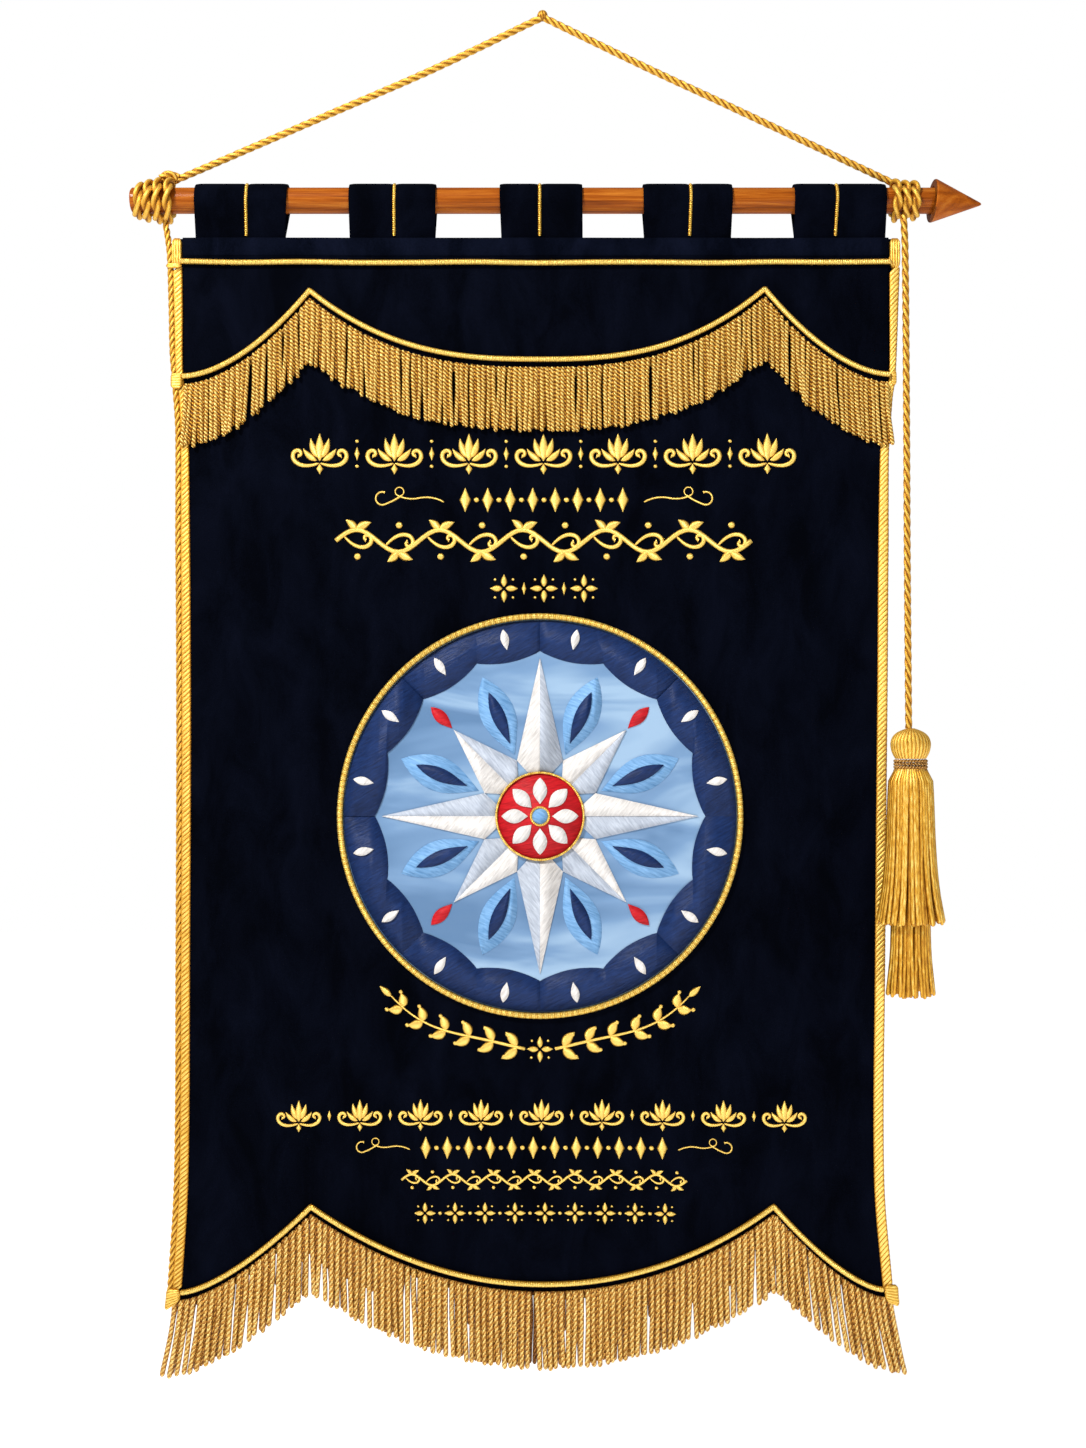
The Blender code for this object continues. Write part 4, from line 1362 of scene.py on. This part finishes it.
# The cords' sides are painted darker, and each skirt's inner row darker still, as shade inside the
# tassel.
skirt(bm, SKIRT_PROFILE, 40, 0.0021, 0.0, draw, 13)
skirt(bm, SKIRT_PROFILE, 34, 0.0022, 0.0038, draw, 9, bright=0.55)
add_trim("tassel_skirt", "cords", bm, skirt_gold)
bm = new_bmesh()
skirt(bm, UNDERSKIRT_PROFILE, 30, 0.0020, 0.0, draw, 8, bright=0.92, sway=12 / 7)
skirt(bm, UNDERSKIRT_PROFILE, 22, 0.0021, 0.0038, draw, 6, bright=0.52)
add_trim("tassel_underskirt", "cords", bm, skirt_gold)

# %% [markdown]
# ## Varnished wood
#
# The rod and the finial are turned from a warm red-brown wood and varnished. Their solids are
# right already, so they stay, and only get a finish. The grain runs along the rod: noise
# stretched a long way in X gives the streaks, finer noise gives the pores, and a clear coat
# gives the varnish its narrow highlight over the broader one of the wood. The finial's flat
# back is end grain. Its faces that look towards -X get a much darker copy of the finish, which
# is painted shade.

# %% Wood material
WOODS = ((0.085, 0.014, 0.001), (0.32, 0.072, 0.003), (0.58, 0.20, 0.022))


def varnished_wood(name, turn, fineness, light, stops):
    """Wood with its grain along X, turned by so much. stops place the three wood colours."""
    made = Finish(name)
    place = made.where("Object")
    streaks = made.noise(made.stretched(place, (7, fineness, fineness), turn), 1.0, 4.0, 0.6, 1.2)
    pores = made.noise(made.stretched(place, (45, 1500, 1500), turn))
    colour = made.ramp(made.total((streaks, 0.8), (pores, 0.25)), stops, dimmed(WOODS, light))
    return made.finish(colour, pores, 0.12, 0.0003, Roughness=0.5, Specular_IOR_Level=0.06,
                       Coat_Weight=0.12, Coat_Roughness=0.12)


# %% Finish the rod and the finial
for name, turn, fineness, light, stops in (
        ("rod", (0, 0, 0), 150, 0.92, (0.30, 0.53, 0.80)),
        ("finial", (0, math.radians(-4), 0.2), 75, 1.12, (0.22, 0.52, 0.92))):
    finishes = nodes[name].data.materials
    finishes.clear()
    finishes.append(varnished_wood(f"varnished {name}", turn, fineness, light, stops))

# %% Paint shade on the finial's back
finial_mesh = nodes["finial"].data
finial_mesh.materials.append(varnished_wood("varnished wood, painted shade", (0, 0, 0), 150, 0.36,
                                            (0.34, 0.52, 0.74)))
# Faces that look towards -X get the dark copy: painted shade.
for face in finial_mesh.polygons:
    face.material_index = int(face.normal.x < -0.3)
print("faces in painted shade:", sum(face.material_index for face in finial_mesh.polygons))

# %% [markdown]
# ## Medallion
#
# The medallion is a disc of light blue satin, couched down with a ring of gold cord. On it lie
# flat patches of thread embroidery: a scalloped navy rim, leaves of sky blue, and a white star
# with a red and white rosette at its heart, the compass star of any old chart. Each patch is
# cut as an outline, filled as one face, sliced so that it can follow the folds of the cloth,
# and raised by the thickness of its stitches. Its edge is rounded by sinking its rim.

# %% Embroidery finishes
STITCH_WIDTH, STITCH_LENGTH = 0.0020, 0.014


def stitched(name, dark, light, turn):
    """Flat stitches side by side, all in one direction, in thread of one colour."""
    made = Finish(name)
    place = made.where("Object")
    turned = made.stretched(place, turn=(0, turn, 0))
    threads = made.noise(made.stretched(turned, (1 / STITCH_LENGTH, 1, 1 / STITCH_WIDTH)),
                         1.0, 2.0, 0.6, 0.35)
    mixed = made.total((threads, 0.75), (made.noise(place, 35.0), 0.25))
    return made.finish(made.ramp(mixed, (0.34, 0.66), (dark, light)), threads, 0.8,
                       STITCH_WIDTH * 0.6, Roughness=0.5, Specular_IOR_Level=0.2,
                       Sheen_Weight=0.03, Sheen_Roughness=0.4)


navy_stitch = stitched("navy stitches", (0.0030, 0.013, 0.060), (0.0085, 0.030, 0.125), 0.5)
sky_stitch = stitched("sky blue stitches", (0.11, 0.27, 0.52), (0.24, 0.46, 0.76), -0.4)
white_stitch = stitched("white stitches", (0.58, 0.55, 0.53), (0.86, 0.83, 0.81), 0.9)
shade_stitch = stitched("pale grey-blue stitches", (0.34, 0.38, 0.46), (0.56, 0.61, 0.70), -0.9)
red_stitch = stitched("red stitches", (0.34, 0.004, 0.008), (0.64, 0.012, 0.020), 0.2)

# %% Satin ground
def satin_finish(name):
    """Satin is glossy along its floats, and broken by soft puckers where it is stitched."""
    made = Finish(name)
    place = made.where("Object")
    puckers = made.noise(made.stretched(place, (4.2, 1, 17), (0, 0.25, 0)), 1.0, 3.0, 0.5, 0.9)
    weave = made.noise(made.stretched(place, (350, 1, 1500)), 1.0, 1.0)
    # The colour follows the puckers' noise, so their shade and sheen are painted in: painted shade
    # and highlight.
    colour = made.ramp(puckers, (0.36, 0.50, 0.64), ((0.095, 0.190, 0.345),
                                                     (0.155, 0.275, 0.460), (0.29, 0.43, 0.60)))
    return made.finish(colour, made.total((puckers, 1.0), (weave, 0.03)), 0.45, 0.006,
                       Roughness=0.36, Specular_IOR_Level=0.45, Sheen_Weight=0.2,
                       Sheen_Roughness=0.3)


low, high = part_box("medallion_ring")
CENTRE_X = (low.x + high.x) / 2
CENTRE_DEPTH = -(low.z + high.z) / 2
RING_CORD = 0.0030
RING_RADIUS = (high.x - low.x) / 2 - RING_CORD
GROUND_RADIUS = RING_RADIUS - RING_CORD
SATIN_LIFT = PANEL_FRONT + 0.0012


def polar(radius, angle):
    """(x, depth) at that radius and clockwise angle from the top of the medallion."""
    a = math.radians(angle)
    return CENTRE_X + radius * math.sin(a), CENTRE_DEPTH - radius * math.cos(a)


def face_front(bm):
    """Turns a sheet's faces towards the viewer."""
    bmesh.ops.recalc_face_normals(bm, faces=bm.faces)
    if sum(face.normal.y * face.calc_area() for face in bm.faces) > 0:
        bmesh.ops.reverse_faces(bm, faces=bm.faces)


RADIAL, SECTORS = 34, 144


def satin_place(i, j):
    x, depth = polar(GROUND_RADIUS * (0.004 + 0.996 * j / RADIAL), -360 * i / SECTORS)
    pucker = 0.0004 * noise.noise(Vector((x * 30, depth * 75, 3.3)))
    return on_cloth(x, depth, SATIN_LIFT + pucker), (x, -depth), 1.0


bm = new_bmesh()
close_round(bm, lay_grid(bm, SECTORS, RADIAL, satin_place), SECTORS, RADIAL, (0,))
face_front(bm)
ground = thicken(add_piece("satin_ground", bm, satin_finish("light blue satin"),
                           ["medallion_ground"], outward=False), 0.0010)

# %% Patches of embroidery
SLICE = 0.012
STITCH_PADDING = 0.0010


def patch(name, outlines, finish, lift, rim):
    """Raised patches with these outlines of (x, depth) points, lying so far off the cloth."""
    bm = new_bmesh()
    for outline in outlines:
        face = bm.faces.new([bm.verts.new((x, 0, -depth)) for x, depth in outline])
        bmesh.ops.inset_region(bm, faces=[face], thickness=rim, use_even_offset=True)
    low, high = (f(v.co.x for v in bm.verts) for f in (min, max))
    for n in range(1, int((high - low) / SLICE) + 1):
        bmesh.ops.bisect_plane(bm, geom=bm.verts[:] + bm.edges[:] + bm.faces[:],
                               plane_co=(low + n * SLICE, 0, 0), plane_no=(1, 0, 0))
    boundary = {v for e in bm.edges if e.is_boundary for v in e.verts}
    for vert in bm.verts:
        raised = lift if vert in boundary else lift + STITCH_PADDING
        vert.co.y = drape(vert.co.x, -vert.co.z) - raised
    face_front(bm)
    thicken(add_piece(name, bm, finish, outward=False), 0.0006)


def ring_part(start, inner):
    """An eighth of a ring, with two scallops on its inner edge."""
    outer = [polar(GROUND_RADIUS - 0.0008, start + 45 * n / 16) for n in range(17)]
    scallops = [polar(inner - 0.0085 * abs(math.sin(2 * math.pi * t)) ** 0.8, start + 45 * t)
                for t in [1 - n / 32 for n in range(33)]]
    return outer + scallops


def leaf_outline(angle, foot, tip, half):
    """A pointed leaf that grows outwards."""
    sides = []
    for way in (1, -1):
        for n in range(1, 12):
            t = n / 12 if way == 1 else 1 - n / 12
            reach = blend(foot, tip, t)
            swing = math.degrees(half * math.sin(math.pi * t**1.15) ** 0.9 / reach)
            sides.append(polar(reach, angle + way * swing))
        sides.append(polar(tip if way == 1 else foot, angle))
    return sides


def leaves(count, first, foot, tip, half):
    """So many leaves, evenly round the medallion from the first one's angle."""
    return [leaf_outline(first + 360 * n / count, foot, tip, half) for n in range(count)]


def circle(radius, steps, way=1):
    """Points once round the medallion, back to the first."""
    return [polar(radius, way * 360 * n / steps) for n in range(steps + 1)]


STAR_FOOT, STAR_WAIST = 0.030, 0.060


def star(side):
    """Half of each ray of a star, on the left (-1) or the right (1) of its middle line."""
    return [[polar(STAR_FOOT, angle), polar(reach, angle),
             polar(STAR_WAIST, angle + side * 22.5)]
            for first, reach in ((0, 0.158), (45, 0.122))
            for angle in range(first, 360, 90)]


# %% The compass star
for name, outlines, finish, lift, rim in (
        ("ring_navy", [ring_part(45 * n, 0.1650) for n in range(8)], navy_stitch, 0.0027,
         0.0012),
        ("leaves_sky", leaves(8, 22.5, 0.066, 0.1500, 0.0175), sky_stitch, 0.0026, 0.0012),
        ("leaves_navy", leaves(8, 22.5, 0.078, 0.1340, 0.0068), navy_stitch, 0.0038, 0.0008),
        ("lozenges_white", leaves(16, 11.25, 0.1690, 0.1900, 0.0042), white_stitch, 0.0038,
         0.0007),
        ("star_white", star(-1), white_stitch, 0.0034, 0.0009),
        ("star_shade", star(1), shade_stitch, 0.0034, 0.0009),
        ("lozenges_red", leaves(4, 45, 0.1240, 0.1540, 0.0060), red_stitch, 0.0030, 0.0008),
        ("rosette_red", [circle(0.0430, 72)[:-1]], red_stitch, 0.0046, 0.0012),
        ("rosette_petals", leaves(8, 0, 0.0120, 0.0385, 0.0072), white_stitch, 0.0056, 0.0008),
        ("rosette_eye", [circle(0.0085, 24)[:-1]], sky_stitch, 0.0056, 0.0008)):
    patch(name, outlines, finish, lift, rim)

ROSETTE_CORD = 0.0011


def rosette_section(n, angle):
    # Every other ring is painted darker, as shade between the wraps.
    return (ROSETTE_CORD * math.cos(angle), ROSETTE_CORD * math.sin(angle), angle * 0.001,
            0.6 + 0.4 * (n % 2))


bm = new_bmesh()
for radius in (0.0436, 0.0090):
    loop = [on_cloth(*at, 0.0056) for at in circle(radius, 60, -1)]
    roll(bm, loop, 8, rosette_section, first_side=(0, 1, 0), closed=True)
add_piece("rosette_cords", bm, piping_gold)

# %% Ring cord
ring_path = [on_cloth(*at, PANEL_FRONT + GAP + RING_CORD)
             for at in circle(RING_RADIUS, 420, -1)]
ring_path[-1] = ring_path[0].copy()
bm = new_bmesh()


def ring_section(n, angle):
    bead = 1 - n % 2
    reach = RING_CORD * (0.955 + 0.045 * bead)
    # The hollows between beads are painted darker, as shade.
    return reach * math.cos(angle), reach * math.sin(angle), angle * RING_CORD, 0.6 + 0.4 * bead


roll(bm, ring_path, 12, ring_section, first_side=(0, 1, 0), closed=True)
add_trim("medallion_ring", "wound", bm, piping_gold)

# %% [markdown]
# ## Gold ornament on the velvet
#
# Above and below the medallion, bands of raised gold embroidery fill the cloth: scrolls, leaves
# and little lozenges in satin stitch over padding. Every one of these is a stroke: a line with
# a width that swells and tapers. A leaf is a short stroke, fat in the middle; a lozenge is a
# stroke whose width goes straight up and down; a scroll is a long thin one, curled at its end.
# So one helper makes all of them: a grid rolled round the line and flattened on the cloth.

# %% Satin stitch
satin_stitch = wound_thread("gold satin stitch", 0.0009, relief=0.5, roughness=0.42)
STROKE_FACETS = 8
STITCH_HEIGHT = 0.0022
THINNEST_HALF = 0.00035


def stroke(bm, place, line, widths):
    """Satin stitch over padding along a line of (x, up) points, laid out by place(x, up)."""
    points = [on_cloth(*place(x, up), PANEL_FRONT) for x, up in line]

    def section(n, angle):
        half = max(widths[n] / 2, THINNEST_HALF)
        out = math.cos(angle)
        height = min(STITCH_HEIGHT, 0.62 * half + 0.0004)
        # The stitches' top is painted lighter and their sides darker, as painted highlight and
        # shade.
        return (height * out if out > 0 else 0.00025 * out, half * math.sin(angle),
                angle * 0.002, 0.50 + 0.50 * max(out, 0))

    roll(bm, points, STROKE_FACETS, section, first_side=(0, -1, 0))


# %% Motifs
def curve_line(start, heading, length, curl, steps):
    """A line that starts in one direction, in degrees, and turns by so much in all."""
    x, up = start
    line = [(x, up)]
    for n in range(steps):
        a = math.radians(heading + curl * (n + 0.5) / steps)
        x += length / steps * math.cos(a)
        up += length / steps * math.sin(a)
        line.append((x, up))
    return line


def leaf(start, heading, length, width, curl=25):
    line = curve_line(start, heading, length, curl, 8)
    return line, [width * math.sin(math.pi * (n / 8) ** 0.8) ** 0.9 for n in range(9)]


def lozenge(centre, height, width):
    x, up = centre
    line = [(x, up + height * (n / 6 - 0.5)) for n in range(7)]
    return line, [width * (1 - abs(n / 3 - 1)) for n in range(7)]


def bud(centre, size):
    x, up = centre
    line = [(x + size * (n / 6 - 0.5), up) for n in range(7)]
    return line, [size * math.sqrt(max(0, 1 - (n / 3 - 1) ** 2)) for n in range(7)]


def scroll(start, heading, size, hand, width):
    """A line that runs out and curls up on itself, tapering to its start."""
    x, up = start
    line, widths, a = [(x, up)], [width * 0.25], math.radians(heading)
    steps = 26
    for n in range(steps):
        t = (n + 1) / steps
        a += hand * math.radians(2 + 30 * t**1.4)
        step = size * 0.105 * (1 - 0.62 * t)
        x += step * math.cos(a)
        up += step * math.sin(a)
        line.append((x, up))
        widths.append(width * (0.25 + 0.75 * math.sin(math.pi * min(1, 0.12 + t * 0.75))))
    widths[-1] = width * 1.25
    return line, widths


def mirrored(strokes):
    return strokes + [([(-x, up) for x, up in line], widths) for line, widths in strokes]


def moved(strokes, dx):
    return [([(x + dx, up) for x, up in line], widths) for line, widths in strokes]


def scaled(strokes, size):
    return [([(x * size, up * size) for x, up in line], [width * size for width in widths])
            for line, widths in strokes]


# %% Palmette, sprig and flourish
def palmette(size):
    """An upright fan of leaves over two scrolls, about as wide as it is tall."""
    half = [leaf((0.04, -0.10), 54, 0.52, 0.19, 30),
            leaf((0.07, -0.17), 20, 0.46, 0.17, 42),
            scroll((0.02, -0.24), -20, 0.66, 1, 0.12)]
    return scaled(mirrored(half) + [leaf((0, -0.18), 90, 0.68, 0.24, 0),
                                    lozenge((0, -0.38), 0.26, 0.19)], size)


def quatrefoil(size):
    """Four leaves in a cross, with a bud in each corner."""
    petals = [leaf((0.06 * math.cos(math.radians(a)), 0.06 * math.sin(math.radians(a))),
                   a, 0.40, 0.22, 0) for a in (0, 90, 180, 270)]
    buds = [bud((0.30 * side, 0.30 * way), 0.09) for side in (-1, 1) for way in (-1, 1)]
    return scaled(petals + buds, size)


def sprig(width, size, pairs):
    """A stem with paired leaves and buds, growing to the right from 0 to width."""
    length = width / size
    stem = [(length * n / 24, 0.10 * math.sin(2 * math.pi * n / 24)) for n in range(25)]
    strokes = [(stem, [0.11475 - 0.06075 * n / 24 for n in range(25)])]
    for n in range(pairs):
        t = (n + 0.35) / pairs
        x, up = length * t, 0.10 * math.sin(2 * math.pi * t)
        for way in (1, -1):
            strokes.append(leaf((x, up + 0.02 * way), 62 * way, 0.62 - 0.18 * t, 0.324,
                                -38 * way))
            strokes.append(bud((x + 0.46 * length / pairs, up + 0.36 * way), 0.135))
    return scaled(strokes + [leaf((length, 0), 0, 0.5, 0.22, 0)], size)


def flourish(width, size):
    """A thin line that swings out, throws one small loop upwards, and ends in a hook."""
    length = width / size
    line, widths, heading = [(0.0, -0.10)], [0.03], 30
    for run, turn, thick in ((0.34 * length, -42, 0.085), (0.28 * length, 38, 0.080),
                             (1.02, 298, 0.060), (0.26 * length, 16, 0.090),
                             (1.15, 225, 0.085)):
        line += curve_line(line[-1], heading, run, turn, 16)[1:]
        widths += [thick] * 16
        heading += turn
    widths[-1] = 0.15
    return scaled([(line, widths)], size)


# %% Bands
def row_of(motif, count, spacing, between=None):
    strokes = []
    for n in range(count):
        strokes += moved(motif, spacing * (n - (count - 1) / 2))
        if between and n < count - 1:
            strokes += moved(between, spacing * (n - (count - 2) / 2))
    return strokes


def wave_band(width, size, waves):
    """A stem that rolls along, with a scroll in each hollow and leaves on its back."""
    length, steps = width / size, waves * 16
    stem = [(length * (n / steps - 0.5), 0.24 * math.sin(2 * math.pi * waves * n / steps))
            for n in range(steps + 1)]
    strokes = [(stem, [0.11] * (steps + 1))]
    half_wave = length / (2 * waves)
    for n in range(2 * waves):
        x = half_wave * (n + 0.5 - waves)
        up = 1 if n % 2 == 0 else -1
        strokes += [scroll((x - 0.30 * half_wave, up * 0.10), -up * 50, 0.58, up, 0.10),
                    leaf((x, up * 0.24), up * 40, 0.36, 0.19, -up * 25),
                    leaf((x, up * 0.24), up * 125, 0.32, 0.18, up * 25),
                    bud((x + 0.02, -up * 0.34), 0.15)]
    return scaled(strokes, size)


def embroider(name, strokes, centre_x, centre_depth, arc=None):
    """Places a band's strokes on the cloth, straight or round an arc of this radius."""
    def place(x, up):
        if arc is None:
            return centre_x + x, centre_depth - up
        a = x / arc
        return (centre_x + (arc - up) * math.sin(a), centre_depth + (arc - up) * math.cos(a))

    bm = new_bmesh()
    for line, widths in strokes:
        stroke(bm, place, line, widths)
    add_piece(name, bm, satin_stitch)


# %% Embroider the bands
def lozenges(height, width, buds=()):
    """A lozenge, with a bud of this size above and below it for each (up, size)."""
    return [lozenge((0, 0), height, width),
            *(bud((0, way * up), size) for up, size in buds for way in (1, -1))]


MIDDLE = 0.0015
for name, centre_x, centre_depth, strokes, *arc in (
        ("band_palmettes", 0.001, 0.4370,
         row_of(palmette(0.040), 7, 0.0745, lozenges(0.013, 0.0060, [(0.0125, 0.0036)]))),
        ("band_lozenges", MIDDLE, 0.4830,
         row_of(lozenges(0.024, 0.0120), 8, 0.0225, [bud((0, 0), 0.0052)])),
        ("flourishes_upper", MIDDLE, 0.4830, mirrored(moved(flourish(0.077, 0.022), 0.1000))),
        ("band_waves", 0.0010, 0.5240, wave_band(0.415, 0.046, 5)),
        ("band_quatrefoils", MIDDLE, 0.5715,
         row_of(quatrefoil(0.030), 3, 0.0400, lozenges(0.012, 0.005))),
        ("garland", CENTRE_X, CENTRE_DEPTH,
         mirrored(moved(sprig(0.146, 0.031, 6), 0.015)) + quatrefoil(0.028), 0.2335),
        ("band_lower_palmettes", -0.001, 1.0980,
         row_of(palmette(0.031), 9, 0.0605, lozenges(0.010, 0.0046))),
        ("band_lower_lozenges", MIDDLE, 1.1310,
         row_of(lozenges(0.022, 0.0110), 12, 0.0215, [bud((0, 0), 0.0048)])),
        ("flourishes_lower", MIDDLE, 1.1310, mirrored(moved(flourish(0.060, 0.018), 0.1340))),
        ("band_small_waves", MIDDLE, 1.1630, wave_band(0.285, 0.023, 7)),
        ("band_small_quatrefoils", 0.0025, 1.1965,
         row_of(quatrefoil(0.023), 9, 0.0300, [bud((0, 0), 0.0036)]))):
    embroider(name, strokes, centre_x, centre_depth, *arc)
